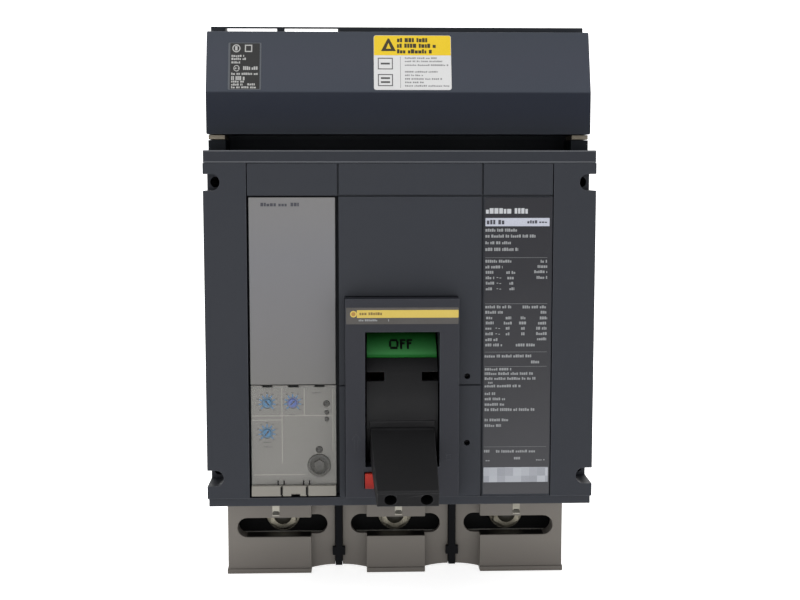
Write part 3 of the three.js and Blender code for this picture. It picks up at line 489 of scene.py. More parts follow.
def ring(a, b, radius, thickness, steps=24):
    """Ring built from short four-sided pieces."""
    inner = radius - thickness
    pieces = []
    for i in range(steps):
        u, v = math.radians(360.0 * i / steps), math.radians(360.0 * (i + 1) / steps)
        pieces.append([(a + r * math.cos(t), b + r * math.sin(t))
                       for r, t in ((radius, u), (radius, v), (inner, v), (inner, u))])
    return pieces


def type_blocks(rows, seed, width=1.0, gap=0.28, word=4):
    """Rows of blank type: little blocks grouped like words, with no letters in them.

    rows: (left x, right x, middle z, height). gap is a share of the block width.
    """
    rnd = random.Random(seed)
    blocks = []
    for x, right, z, height in rows:
        left_in_word = rnd.randint(2, word + 2)
        while x < right - 0.35:
            block_width = min(width * rnd.uniform(0.62, 1.15), right - x)
            block_height = height * rnd.choice((1.0, 1.0, 0.72, 0.86))
            bottom = z - height / 2
            blocks.append(rect(x, x + block_width, bottom, bottom + block_height))
            x += block_width + gap * width
            left_in_word -= 1
            if left_in_word <= 0:
                x += 0.7 * width
                left_in_word = rnd.randint(2, word + 2)
    return blocks


# =====================================================================
# places: each turns (a, b, height above a surface) into (x, y, z)
# =====================================================================
def front(y):
    """Plane facing the front at depth y; a is x and b is z."""
    return lambda a, b, h: (a, y - h, b)


def level(a, b, h):
    """Horizontal plane; b runs towards the front and h is z."""
    return (a, -b, h)


SLOPE_LENGTH = math.hypot(SLOPE_HIGH[0] - SLOPE_LOW[0], SLOPE_HIGH[1] - SLOPE_LOW[1])
SLOPE_UP = ((SLOPE_HIGH[0] - SLOPE_LOW[0]) / SLOPE_LENGTH,
            (SLOPE_HIGH[1] - SLOPE_LOW[1]) / SLOPE_LENGTH)
SLOPE_OUT = (-SLOPE_UP[1], SLOPE_UP[0])


def slope(a, b, h):
    """The jaw cover's sloping face; a is x and b is z on the face."""
    along = (b - SLOPE_LOW[1]) / SLOPE_UP[1]
    return (a, SLOPE_LOW[0] + SLOPE_UP[0] * along + SLOPE_OUT[0] * h,
            SLOPE_LOW[1] + SLOPE_UP[1] * along + SLOPE_OUT[1] * h)


def drum(radius):
    """Wraps round the flag drum; a is x and b is the angle above the front, in degrees."""
    def place(a, b, h):
        angle = math.radians(b)
        return (a, DRUM_Y - (radius + h) * math.cos(angle),
                DRUM_Z + (radius + h) * math.sin(angle))
    return place


COVER = front(COVER_Y)
BEZEL = front(BEZEL_Y)
TRIP = front(TRIP_Y)
PANEL = front(PANEL_Y)
FROM_ORIGIN = front(0.0)    # height is the distance in front of y = 0


# =====================================================================
# meshes
# =====================================================================
def shade(mesh, smooth=True):
    mesh.polygons.foreach_set("use_smooth", [smooth] * len(mesh.polygons))


def add_mesh(name, verts, faces, material, body="root", slot=None, smooth=False, rounding=0.0):
    mesh = bpy.data.meshes.new(name)
    mesh.from_pydata([(x * MM, y * MM, z * MM) for x, y, z in verts], [], faces)
    bm = bmesh.new()
    bm.from_mesh(mesh)
    bmesh.ops.recalc_face_normals(bm, faces=bm.faces)
    bm.to_mesh(mesh)
    bm.free()
    if smooth or rounding:
        shade(mesh)
    mesh.materials.append(MATERIALS[material])
    obj = bpy.data.objects.new(name, mesh)
    SCENE.collection.objects.link(obj)
    if rounding:
        bevel = obj.modifiers.new("round", "BEVEL")
        bevel.width = rounding * MM
        bevel.segments = 2
        bevel.limit_method = "ANGLE"
        bevel.angle_limit = math.radians(32)
        bevel.use_clamp_overlap = True
        obj.modifiers.new("normals", "WEIGHTED_NORMAL").keep_sharp = False
    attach(obj, body)
    return obj


def ring_faces(start, count):
    """Quads between the ring of count points from start and the ring after it."""
    faces = []
    for i in range(count):
        j = (i + 1) % count
        faces.append((start + i, start + j, start + count + j, start + count + i))
    return faces


def slab_data(outline, heights, place, rim=0.0):
    """Closed plate between two heights, with a small rolled rim."""
    low, high = heights
    if rim > 0:
        rings = [(outline, low), (outline, high - rim),
                 (inset(outline, rim * 0.35), high - rim * 0.3), (inset(outline, rim), high)]
    else:
        rings = [(outline, low), (outline, high)]
    count = len(outline)
    verts = [place(a, b, h) for points, h in rings for a, b in points]
    faces = []
    for k in range(len(rings) - 1):
        faces += ring_faces(k * count, count)
    faces.append(tuple(range(count))[::-1])
    faces.append(tuple((len(rings) - 1) * count + i for i in range(count)))
    return verts, faces


def slab(name, outline, heights, place, material, body="root", rim=0.0):
    add_mesh(name, *slab_data(outline, heights, place, rim), material, body)


def slabs(name, outlines, heights, place, material, body="root"):
    """Several closed plates in one mesh."""
    verts, faces = [], []
    for outline in outlines:
        plate_verts, plate_faces = slab_data(outline, heights, place)
        start = len(verts)
        verts += plate_verts
        faces += [tuple(i + start for i in face) for face in plate_faces]
    add_mesh(name, verts, faces, material, body)


def mark_sharp(obj, degrees):
    """Smooth shading, broken at edges sharper than the angle."""
    bm = bmesh.new()
    bm.from_mesh(obj.data)
    for edge in bm.edges:
        if len(edge.link_faces) == 2:
            edge.smooth = edge.calc_face_angle(0.0) < math.radians(degrees)
    for face in bm.faces:
        face.smooth = True
    bm.to_mesh(obj.data)
    bm.free()


def lathe(name, profile, centre, material, sides, body="root", slot=None, flutes=None):
    """Solid turned about a front-to-back axis through centre (x, z).

    profile: (radius, distance in front of y = 0), from axis to axis.
    flutes: (depth share, count, radius beyond which they are cut).
    """
    x, z = centre
    verts, faces, rings = [], [], []
    for radius, h in profile:
        start = len(verts)
        if radius < 1e-6:
            verts.append((x, -h, z))
        else:
            for i in range(sides):
                t = 2 * math.pi * i / sides
                cut = 0
                if flutes and radius > flutes[2]:
                    cut = flutes[0] * (0.5 + 0.5 * math.cos(flutes[1] * t))
                r = radius * (1 - cut)
                verts.append((x + r * math.cos(t), -h, z + r * math.sin(t)))
        rings.append(range(start, len(verts)))
    for near, far in zip(rings, rings[1:]):
        for i in range(sides):
            j = (i + 1) % sides
            if len(near) == 1:
                faces.append((near[0], far[i], far[j]))
            elif len(far) == 1:
                faces.append((near[i], near[j], far[0]))
            else:
                faces.append((near[i], near[j], far[j], far[i]))
    obj = add_mesh(name, verts, faces, material, body, slot, smooth=True)
    mark_sharp(obj, 38)
    return obj


# =====================================================================
# CAD pieces: materials and rounded edges
# =====================================================================
def position_key(points):
    return frozenset(tuple(round(c * 1e6) for c in point) for point in points)


def keep_hard_edges(mesh):
    """Marks every edge that turns more than 40 degrees as sharp."""
    bm = bmesh.new()
    bm.from_mesh(mesh)
    bmesh.ops.remove_doubles(bm, verts=bm.verts, dist=1e-6)
    limit = math.cos(math.radians(40))
    hard = set()
    for edge in bm.edges:
        sides = edge.link_faces
        if len(sides) == 2 and sides[0].normal.dot(sides[1].normal) < limit:
            hard.add(position_key(v.co for v in edge.verts))
    bm.free()
    for edge in mesh.edges:
        edge.use_edge_sharp = position_key(mesh.vertices[i].co for i in edge.vertices) in hard


def dress(piece, material, radius, segments=2, crowded=False, prep="planar"):
    """crowded: edges too close together for the rounding stay crisp.

    prep: "raw" leaves the faces, "planar" joins flat ones, "tri" then splits them again.
    """
    obj = NODES[piece]
    mesh = obj.data
    if "custom_normal" in mesh.attributes:
        mesh.attributes.remove(mesh.attributes["custom_normal"])
    shade(mesh)
    mesh.materials.clear()
    mesh.materials.append(MATERIALS[material])
    if crowded:
        keep_hard_edges(mesh)
    obj.modifiers.new("weld", "WELD").merge_threshold = 0.00001    # metres
    if prep != "raw":
        planar = obj.modifiers.new("planar", "DECIMATE")
        planar.decimate_type = "DISSOLVE"
        planar.angle_limit = math.radians(0.6)
    if prep == "tri":
        obj.modifiers.new("triangles", "TRIANGULATE").ngon_method = "BEAUTY"
    if radius > 0:
        bevel = obj.modifiers.new("round", "BEVEL")
        bevel.width = radius * MM
        bevel.segments = segments
        bevel.limit_method = "ANGLE"
        bevel.angle_limit = math.radians(32)
        bevel.use_clamp_overlap = crowded
        bevel.miter_outer = "MITER_ARC"
    elif crowded:                   # crisp flat faces need no averaged normals
        shade(mesh, smooth=False)
        return
    normals = obj.modifiers.new("normals", "WEIGHTED_NORMAL")
    normals.keep_sharp = crowded
    normals.weight = 80


# piece, material, rounding radius, then where they differ: segments, crowded, prep
PIECES = (
    ("base_case", "base_case", 0, 2, True, "raw"), ("front_cover", "case", 0, 2, True, "raw"),
    ("accessory_cover", "cover", 0.18), ("handle_bezel", "bezel", 0.45, 3, True, "tri"),
    ("handle", "handle", 0.34, 3, False, "raw"), ("off_flag", "flag_green", 0.25),
    ("on_flag", "flag_red", 0.25), ("handle_pin", "mech_steel", 0.25),
    ("toggle_spring", "spring", 0), ("mechanism_frame", "mech_steel", 0.2, 2, False, "raw"),
    ("cradle", "mech_steel", 0.2, 2, False, "tri"), ("upper_link", "mech_steel", 0.2),
    ("lower_link", "mech_steel", 0.2), ("crossbar", "crossbar", 0.3),
    ("trip_bar", "crossbar", 0.25, 2, True, "raw"), ("trip_button", "button_red", 0.3),
    ("flux_shifter", "mech_steel", 0.3), ("flux_plunger", "bright_steel", 0.15),
    ("trip_unit_housing", "trip_housing", 0.2, 2, True, "raw"),
    ("trip_circuit_board", "pcb", 0.12), ("trip_unit_cover", "trip_grey", 0.45, 3),
    ("dial_panel", "dial_panel", 0.16), ("status_lamps", "lamp", 0.25),
    ("test_socket", "socket", 0.22), ("dial_cover", "clear_door", 0.2),
    ("trip_unit_strip", "strip", 0.18), ("jaw_housing", "jaw_housing", 0.45, 2, True, "tri"),
    ("jaw_cover", "jaw_cover", 0.7, 3, False, "tri"), ("jaw_bracket_left", "bracket", 0.25),
    ("jaw_bracket_right", "bracket", 0.25),
)
# the same columns, for pieces that each pole has
POLE_PIECES = (
    ("contact_arm", "copper", 0.3), ("arc_chute", "arc_plate", 0.15, 1, False, "tri"),
    ("line_conductor", "copper", 0.35), ("jaw", "silvered_copper", 0.2),
    ("load_conductor", "copper", 0.3),
    ("current_transformer", "transformer", 0.5, 2, False, "tri"),
    ("terminal_shroud", "shroud", 0.4, 3, False, "raw"), ("lug", "lug", 0.4),
    ("lug_bolt", "bolt_steel", 0.35, 3),
)
for piece_row in PIECES:
    dress(*piece_row)
for side, _ in POLES:
    for piece, *how in POLE_PIECES:
        dress(f"{piece}_{side}", *how)

# =====================================================================
# rating plate on the accessory cover
# =====================================================================
PLATE_PRINT = (0.33, 0.40)
# left x, right x, middle z, height
RATING_TEXT = (
    (45.5, 63.2, 55.2, 1.61), (45.5, 72.5, 52.0, 1.61), (45.5, 59.4, 48.4, 1.51),
    (45.5, 63.2, 44.9, 1.72), (45.6, 59.8, 38.5, 1.51), (75.4, 79.0, 38.4, 1.51),
    (45.6, 54.9, 35.4, 1.51), (73.8, 79.0, 35.6, 1.51), (45.8, 49.9, 32.5, 1.51),
    (56.9, 61.8, 32.4, 1.51), (72.0, 79.0, 32.8, 1.51), (45.8, 50.4, 29.6, 1.51),
    (57.5, 61.0, 29.5, 1.51), (73.3, 79.1, 29.7, 1.52), (45.9, 50.4, 26.7, 1.51),
    (58.6, 61.2, 26.6, 1.52), (45.9, 50.4, 23.6, 1.52), (58.7, 61.3, 23.6, 1.52),
    (45.7, 59.7, 13.8, 1.52), (65.9, 79.3, 13.7, 1.52), (45.7, 55.2, 10.9, 1.52),
    (75.7, 79.3, 10.8, 1.52), (46.2, 49.7, 7.9, 1.52), (56.8, 59.8, 7.8, 1.52),
    (64.9, 67.7, 7.8, 1.53), (75.3, 79.3, 7.7, 1.53), (46.0, 50.3, 5.1, 1.52),
    (55.8, 60.3, 5.0, 1.53), (64.1, 68.5, 5.0, 1.53), (74.4, 79.3, 4.9, 1.53),
    (45.8, 50.3, 2.2, 1.53), (56.9, 59.3, 2.2, 1.53), (65.2, 67.5, 2.1, 1.53),
    (73.4, 79.0, 2.1, 1.53), (45.8, 50.4, -0.8, 1.53), (56.9, 59.3, -0.9, 1.53),
    (65.3, 67.5, -0.9, 1.53), (73.4, 79.1, -0.8, 1.53), (45.8, 52.8, -4.0, 1.53),
    (73.9, 78.9, -3.7, 1.53), (45.8, 55.2, -6.9, 1.53), (62.4, 72.9, -7.0, 1.53),
    (45.5, 71.4, -13.0, 1.53), (70.8, 75.8, -16.3, 1.54), (45.6, 60.0, -20.2, 1.32),
    (45.6, 72.5, -22.6, 1.43), (45.6, 73.7, -25.3, 1.43), (47.5, 49.9, -27.6, 0.99),
    (45.6, 65.5, -29.4, 1.43), (45.7, 51.7, -33.6, 1.43), (45.7, 56.8, -36.5, 1.43),
    (45.7, 56.3, -39.5, 1.44), (45.7, 73.4, -42.4, 1.55), (45.7, 59.6, -48.1, 1.44),
    (45.8, 54.7, -51.2, 1.44), (45.5, 49.6, -65.4, 1.45), (52.1, 73.5, -65.5, 1.45),
    (62.0, 65.3, -69.4, 1.34), (46.4, 48.6, -70.7, 0.56), (74.1, 78.7, -70.4, 0.67),
)
# two-part signs: left x, right x, z
RATING_SIGNS = ((51.5, 54.2, 29.6), (51.5, 54.2, 26.6), (51.5, 54.2, 23.6),
                (51.1, 53.8, 2.2), (51.1, 53.8, -0.9))
# thin rules: left x, right x, z
RATING_LINES = ((45.5, 79.0, 40.4), (45.6, 79.2, 15.5), (45.5, 79.3, -10.8),
                (45.5, 79.4, -18.7), (45.5, 79.5, -63.0))

slab("rating_plate", round_rect(45.0, 81.3, -89.3, 72.6, 0.7), (-0.02, 0.34), COVER,
     "rating_film", rim=0.12)
slab("rating_bar", round_rect(45.5, 80.0, 57.3, 61.7, 0.25), (0.33, 0.42), COVER, "ink_bar")
slab("serial_patch", round_rect(45.3, 80.7, -82.7, -74.4, 0.3), (0.33, 0.43), COVER,
     "serial_patch")
slabs("rating_rows", type_blocks(RATING_TEXT, seed=11, gap=0.26), PLATE_PRINT, COVER,
      "ink_light")
slabs("rating_signs",
      [rect(x0 + 0.2, x0 + 1.1, z - 0.15, z + 0.3) for x0, x1, z in RATING_SIGNS]
      + [rect(x0 + 1.7, x1, z - 0.35, z + 0.05) for x0, x1, z in RATING_SIGNS],
      PLATE_PRINT, COVER, "ink_light")
slabs("rating_lines", [rect(x0, x1, z - 0.11, z + 0.11) for x0, x1, z in RATING_LINES],
      PLATE_PRINT, COVER, "ink_line")
slabs("rating_headline",
      type_blocks([(45.7, 68.2, 65.5, 2.9)], seed=5, width=2.0, gap=0.24, word=6),
      (0.33, 0.42), COVER, "ink_headline")
slabs("rating_bar_code",
      type_blocks([(46.2, 55.6, 59.5, 2.4)], seed=8, width=1.7, gap=0.26, word=3)
      + type_blocks([(68.0, 73.6, 59.6, 1.7), (74.4, 78.9, 59.4, 0.8)], seed=9, width=1.2,
                    gap=0.3),
      (0.41, 0.46), COVER, "ink_dark")

# =====================================================================
# handle bezel: film with a stripe, and two faint moulded marks
# =====================================================================
MARK_AT = (-25.4, 11.5)
ARROW_AT = (-24.2, -58.0)
ARROW_SIZE = 5.0
# unit arrow pointing up
ARROW = ((0.0, 1.0), (0.55, 0.35), (0.22, 0.35), (0.22, -1.0), (-0.22, -1.0),
         (-0.22, 0.35), (-0.55, 0.35))

slab("bezel_film", round_rect(-29.3, 30.3, 6.1, 14.9, 0.4), (-0.02, 0.10), BEZEL, "bezel_film")
slab("bezel_stripe", round_rect(-23.6, 30.3, 9.5, 13.6, 0.3), (0.09, 0.16), BEZEL,
     "stripe_yellow")
slab("bezel_mark_ring", circle(*MARK_AT, 1.75), (0.09, 0.17), BEZEL, "stripe_yellow")
slab("bezel_mark_dot", circle(*MARK_AT, 1.1), (0.16, 0.20), BEZEL, "mark_ochre")
slabs("bezel_stripe_blocks",
      type_blocks([(-22.2, -9.0, 11.7, 1.45)], seed=21, width=1.1, gap=0.26, word=5),
      (0.155, 0.19), BEZEL, "ink_brown")
slabs("bezel_low_blocks",
      type_blocks([(-22.6, -12.8, 8.2, 1.0)], seed=22, width=0.8, gap=0.3, word=6)
      + [rect(-7.0, -6.6, 7.6, 8.7)],
      (0.09, 0.14), BEZEL, "ink_light")
slab("bezel_arrow",
     [(ARROW_AT[0] + x * ARROW_SIZE, ARROW_AT[1] + z * ARROW_SIZE) for x, z in ARROW],
     (-0.02, 0.06), BEZEL, "bezel")
slabs("bezel_reset_mark",
      [rect(23.8, 26.6, -67.6, -67.1), rect(23.8, 26.6, -64.9, -64.4),
       rect(23.8, 24.3, -67.0, -65.0), rect(26.1, 26.6, -67.0, -65.0)],
      (-0.02, 0.05), BEZEL, "bezel")


# =====================================================================
# coloured flags: state letters wrapped on the drum
# =====================================================================
def band(x0, x1, low, high, steps=4):
    """Rectangle in (x, angle), split so that it follows the drum."""
    rise = high - low
    return ([(x1, low + rise * i / steps) for i in range(steps + 1)]
            + [(x0, high - rise * i / steps) for i in range(steps + 1)])


# Letters: x range, angle range, then stroke width in x and in angle
def letter_o(x0, x1, low, high, wide, tall):
    return [band(x0, x0 + wide, low + tall, high - tall),
            band(x1 - wide, x1, low + tall, high - tall),
            band(x0 + wide * 0.5, x1 - wide * 0.5, low, low + tall, 1),
            band(x0 + wide * 0.5, x1 - wide * 0.5, high - tall, high, 1)]


def letter_f(x0, x1, low, high, wide, tall):
    middle = (low + high) / 2 + 0.6
    return [band(x0, x0 + wide, low, high), band(x0 + wide, x1, high - tall, high, 1),
            band(x0 + wide, x1 - 0.5, middle - tall / 2, middle + tall / 2, 1)]


def letter_n(x0, x1, low, high, wide, tall):
    steps = 6
    run = x1 - x0 - 2 * wide
    step_tall = tall * 1.6
    drop = high - low - step_tall
    diagonal = [band(x0 + wide + run * i / steps, x0 + wide + run * (i + 1) / steps,
                     high - drop * (i + 1) / steps - step_tall * 0.8,
                     high - drop * i / steps - 0.05, 1) for i in range(steps)]
    return [band(x0, x0 + wide, low, high), band(x1 - wide, x1, low, high)] + diagonal


# lowest angle, highest angle, stroke width in x, stroke width in angle
OFF_TYPE = (47.2, 57.6, 1.15, 2.3)
ON_TYPE = (-112, -103, 0.9, 1.8)
LETTER_HEIGHTS = (-0.03, 0.06)
slabs("off_letters",
      letter_o(-6.1, -0.9, *OFF_TYPE) + letter_f(-0.1, 2.9, *OFF_TYPE)
      + letter_f(3.6, 6.6, *OFF_TYPE),
      LETTER_HEIGHTS, drum(41.6), "flag_letters", "handle")
slabs("on_letters", letter_o(-4.9, -0.9, *ON_TYPE) + letter_n(0.6, 4.8, *ON_TYPE),
      LETTER_HEIGHTS, drum(41.2), "notice_white", "handle")

# =====================================================================
# notice on the sloping face
# =====================================================================
NOTICE_PRINT = (0.29, 0.34)
BAND_PRINT = (0.35, 0.40)
BAND_X = (-13.6, 28.4)
BAND_LOW = 149.6
# right x and z of each small row
NOTICE_ROWS = ((20.6, 148.1), (24.6, 146.3), (27.3, 144.2), (21.0, 140.5), (13.0, 138.6),
               (23.4, 136.6), (13.6, 134.7), (27.6, 132.8))
# low z, high z, z of the bars inside
NOTICE_FRAMES = ((141.8, 148.2, (145.0,)), (132.6, 139.2, (134.8, 137.0)))

slab("notice_sheet", round_rect(-13.8, 28.6, 130.6, 160.7, 1.3), (0.02, 0.30), slope,
     "notice_white", rim=0.10)
rounded_top = [p for p in round_rect(*BAND_X, 140.0, 160.5, 1.15) if p[1] > 155]
slab("notice_band", [(x, BAND_LOW) for x in BAND_X] + rounded_top, (0.29, 0.36), slope,
     "notice_yellow")
slab("notice_triangle",
     [(-9.8, 151.9), (-1.6, 151.9), (-2.0, 152.6), (-5.3, 158.9), (-6.1, 158.9), (-9.4, 152.6)],
     BAND_PRINT, slope, "notice_dark")
slab("notice_triangle_in", [(-7.0, 153.2), (-4.4, 153.2), (-5.7, 156.4)], (0.395, 0.43), slope,
     "notice_yellow")
slabs("notice_head_rows",
      type_blocks([(-1.0, 15.6, 158.0, 2.3), (-1.0, 20.6, 154.9, 2.3), (-1.0, 18.0, 151.8, 2.3)],
                  seed=31, width=1.6, gap=0.18, word=5),
      BAND_PRINT, slope, "notice_dark")
slabs("notice_rows",
      type_blocks([(3.2, right, z, 0.85) for right, z in NOTICE_ROWS], seed=33, width=0.8,
                  gap=0.32, word=6),
      NOTICE_PRINT, slope, "notice_grey")
frames = []
for low, high, bars in NOTICE_FRAMES:
    frames += [rect(-11.6, -3.4, low, low + 0.5), rect(-11.6, -3.4, high - 0.5, high),
               rect(-11.6, -11.1, low + 0.5, high - 0.5), rect(-3.9, -3.4, low + 0.5, high - 0.5)]
    frames += [rect(-10.0, -5.0, z - 0.5, z + 0.5) for z in bars]
slabs("notice_frames", frames, NOTICE_PRINT, slope, "ink_faint")
slabs("notice_divider", [rect(0.6, 0.85, 131.6, 148.8)], (0.29, 0.33), slope, "notice_grey")

# =====================================================================
# approval label on the sloping face
# =====================================================================
slab("approval_sheet", round_rect(-93.0, -75.0, 130.5, 156.4, 0.5), (0.02, 0.20), slope,
     "approval_border", rim=0.08)
slab("approval_field", round_rect(-91.9, -75.9, 130.9, 156.0, 0.3), (0.19, 0.24), slope,
     "approval_black")
SMALL_TYPE = dict(width=0.9, gap=0.3)
marks = ring(-88.6, 153.2, 2.2, 0.55) + [rect(-89.3, -88.0, 152.0, 154.4)]
marks += [rect(-84.0, -83.4, 151.2, 155.2), rect(-80.6, -80.0, 151.2, 155.2),
          rect(-83.4, -80.6, 151.2, 151.8), rect(-83.4, -80.6, 154.6, 155.2)]
marks += type_blocks([(-91.2, -84.4, 149.0, 1.1), (-91.2, -82.8, 147.4, 1.2),
                      (-91.2, -86.4, 145.4, 1.1)], seed=41, **SMALL_TYPE)
marks += ring(-88.4, 142.2, 1.7, 0.4)
marks += type_blocks([(-90.0, -86.8, 142.2, 0.9), (-84.8, -81.0, 142.3, 2.0),
                      (-80.2, -77.0, 142.3, 1.8)], seed=42, **SMALL_TYPE)
marks += type_blocks([(-91.2, -76.8, 139.2, 1.2), (-91.2, -84.0, 136.8, 2.2),
                      (-91.2, -84.4, 134.9, 1.0), (-91.2, -85.0, 133.3, 1.1),
                      (-82.4, -78.0, 133.4, 1.1), (-91.2, -77.0, 131.8, 1.1)],
                     seed=43, width=0.9, gap=0.28)
slabs("approval_marks", marks, (0.235, 0.27), slope, "approval_light")

# =====================================================================
# trip unit front: title blocks and cell lines
# =====================================================================
THIN_PRINT = (-0.02, 0.05)
FAINT_PRINT = (-0.02, 0.04)
# left x, right x, low z, high z
PANEL_LINES = (
    (-64.55, -64.15, -72.0, -30.0), (-80.6, -36.0, -45.7, -45.3),
    (-80.6, -64.5, -48.0, -47.65), (-52.45, -52.05, -45.35, -30.2),
    (-80.0, -52.0, -78.3, -77.9), (-37.0, -36.65, -66.0, -31.0),
)
slabs("trip_title_blocks",
      type_blocks([(-74.6, -60.2, 69.0, 1.9), (-58.6, -54.2, 69.0, 1.9)], seed=51, width=1.4,
                  gap=0.24, word=9),
      THIN_PRINT, TRIP, "ink_dark")
slabs("panel_cell_lines", [rect(*line) for line in PANEL_LINES], (-0.02, 0.06), PANEL,
      "ink_cell")
slabs("panel_small_rows",
      type_blocks([(-47.8, -43.2, -32.9, 0.7), (-74.2, -70.0, -60.0, 0.7),
                   (-74.6, -69.8, -62.5, 0.7), (-60.6, -56.6, -45.0, 0.5)],
                  seed=52, width=0.6, gap=0.35, word=5),
      THIN_PRINT, PANEL, "ink_faint")

# =====================================================================
# dials: printed scale, fluted knob, skirt and arrow
# =====================================================================
# x, z, turn of the arrow in degrees, colour, skirt material
DIALS = ((-72.3, -38.3, 40.0, "dial_blue", "dial_skirt"),
         (-58.5, -38.3, -42.0, "dial_violet", "dial_skirt_v"),
         (-72.5, -54.8, -36.0, "dial_blue", "dial_skirt"))
# radius, distance in front of y = 0
KNOB = ((0, 132.6), (1.45, 132.6), (1.45, 141.2), (2.3, 141.2), (2.33, 141.4), (2.33, 144.9),
        (2.2, 145.5), (1.95, 145.75), (0, 145.75))
SKIRT = ((0, 143.6), (3.08, 143.6), (3.1, 143.75), (3.1, 144.5), (2.95, 144.7), (0, 144.7))
# arrow pointing up, about the dial's axis
DIAL_ARROW = ((0, 1.9), (0.8, 0.6), (0.36, 0.6), (0.36, -1.7), (-0.36, -1.7), (-0.36, 0.6),
              (-0.8, 0.6))
SCALE_ANGLES = [225 - 33.75 * k for k in range(9)]
NUMBER_RADIUS = 5.5


def add_dial(number, x, z, turn, colour, skirt):
    body = f"dial_{number}"
    ticks = [radial_bar(x, z, angle, 3.0, 4.7, 0.36) for angle in SCALE_ANGLES]
    numbers = []
    for angle in SCALE_ANGLES:
        mark_x = x + NUMBER_RADIUS * math.cos(math.radians(angle))
        mark_z = z + NUMBER_RADIUS * math.sin(math.radians(angle))
        for left, right in ((-0.55, -0.1), (0.08, 0.5)):
            numbers.append(rect(mark_x + left, mark_x + right, mark_z - 0.38, mark_z + 0.38))
    slabs(f"dial_ticks_{number}", ticks, THIN_PRINT, PANEL, "ink_tick")
    slabs(f"dial_numbers_{number}", numbers, FAINT_PRINT, PANEL, "ink_faint")
    knob = lathe(f"dial_knob_{number}", KNOB, (x, z), colour, 72, body, slot=colour,
                 flutes=(0.05, 18, 2.0))
    lathe(f"dial_skirt_{number}", SKIRT, (x, z), skirt, 48, body)
    cos, sin = math.cos(math.radians(turn)), math.sin(math.radians(turn))
    arrow = [(x + u * cos - v * sin, z + u * sin + v * cos) for u, v in DIAL_ARROW]
    slab(f"dial_arrow_{number}", arrow, (145.74, 145.83), FROM_ORIGIN, "ink_dark", body)
    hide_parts(body)


for i, dial in enumerate(DIALS):
    add_dial(i + 1, *dial)

# =====================================================================
# seal screw, test socket and the clip strip
# =====================================================================
SEAL_X, SEAL_Z = -44.2, -64.3
lathe("seal_screw",
      ((0, 139.6), (1.1, 139.6), (1.1, 141.8), (1.72, 141.8), (1.75, 144.6), (1.55, 145.1),
       (1.1, 145.35), (0, 145.35)),
      (SEAL_X, SEAL_Z), "lamp", 24)
# black slot: painted shade in the screw's slot
slabs("seal_screw_slot", [rect(SEAL_X - 1.2, SEAL_X + 1.2, SEAL_Z - 0.2, SEAL_Z + 0.2)],
      (145.34, 145.40), FROM_ORIGIN, "black_recess")
slabs("socket_ring_blocks",
      [radial_bar(-44.3, -73.0, 150 - 12 * k, 5.1, 5.7, 0.32) for k in range(11)],
      FAINT_PRINT, front(SOCKET_RIM_Y), "ink_dark")
slabs("socket_face_blocks",
      type_blocks([(-46.2, -42.6, -72.1, 0.6), (-45.8, -43.0, -73.6, 0.6)], seed=61, width=0.5,
                  gap=0.35, word=5),
      FAINT_PRINT, front(SOCKET_FACE_Y), "ink_dark")

# small forks that hold the clear door to the clip strip
for i, x in enumerate((-65.0, -51.2)):
    # black slits in the strip: painted shade
    slabs(f"strip_slit_{i + 1}", [rect(x - 0.45, x + 0.45, -88.9, -84.4)], THIN_PRINT,
          front(STRIP_Y), "black_recess")
    slabs(f"door_fork_{i + 1}",
          [rect(x - 2.0, x - 1.2, -83.2, -80.6), rect(x + 1.2, x + 2.0, -83.2, -80.6)],
          (-0.02, 0.14), front(DOOR_Y), "black_recess", "dial_cover")

# =====================================================================
# screws down the two front holes
# =====================================================================
SCREW_X = 36.2
CROSS_ARM = 0.9
CROSS_HALF = 0.14
SCREW = ((0, 136.9), (0.9, 136.9), (0.9, 139.2), (1.35, 139.2), (1.42, 140.6), (1.15, 141.2),
         (0, 141.35))
for i, z in enumerate((-24.0, -60.7)):
    lathe(f"cover_screw_{i + 1}", SCREW, (SCREW_X, z), "transformer", 20)
    upright = (SCREW_X - CROSS_HALF, SCREW_X + CROSS_HALF)
    # black cross: painted shade in the screw's cross recess
    slabs(f"cover_screw_cross_{i + 1}",
          [rect(SCREW_X - CROSS_ARM, SCREW_X + CROSS_ARM, z - CROSS_HALF, z + CROSS_HALF),
           rect(*upright, z + 0.15, z + CROSS_ARM), rect(*upright, z - CROSS_ARM, z - 0.15)],
          (141.3, 141.42), FROM_ORIGIN, "black_recess")

# =====================================================================
# dark domes on the lug bolts
# =====================================================================
BOLT_Z = -127.4
DOME = ((0, 48.8), (5.6, 48.8), (5.6, 49.3), (4.6, 50.3), (2.6, 51.0), (0, 51.2))
for side, x in POLES:
    lathe(f"bolt_dome_{side}", DOME, (x, BOLT_Z), "bolt_dome", 28)

# =====================================================================
# bright retaining tabs under the case edge: a hanging leg with a turned-up toe
# =====================================================================
TAB_X = (-70.9, 0.4, 69.4)
TAB_HALF_WIDTH = 2.1
# distance in front of y = 0, z
TAB_PROFILE = ((101.4, -93.0), (102.3, -93.0), (102.3, -110.6), (103.4, -112.3),
               (103.2, -112.9), (102.4, -113.0), (101.4, -111.4))


def add_tab(side, x):
    count = len(TAB_PROFILE)
    verts = [(end, -h, z) for end in (x - TAB_HALF_WIDTH, x + TAB_HALF_WIDTH)
             for h, z in TAB_PROFILE]
    faces = [tuple(range(count)), tuple(range(count, 2 * count))[::-1]]
    faces += ring_faces(0, count)
    add_mesh(f"retaining_tab_{side}", verts, faces, "tab_metal", slot="bright_steel",
             rounding=0.2)
    # black strip near the leg's lower end
    slab(f"retaining_tab_slot_{side}", round_rect(x - 1.5, x + 1.5, -110.9, -110.2, 0.2),
         (102.28, 102.36), FROM_ORIGIN, "black_recess")


for (side, _), x in zip(POLES, TAB_X):
    add_tab(side, x)

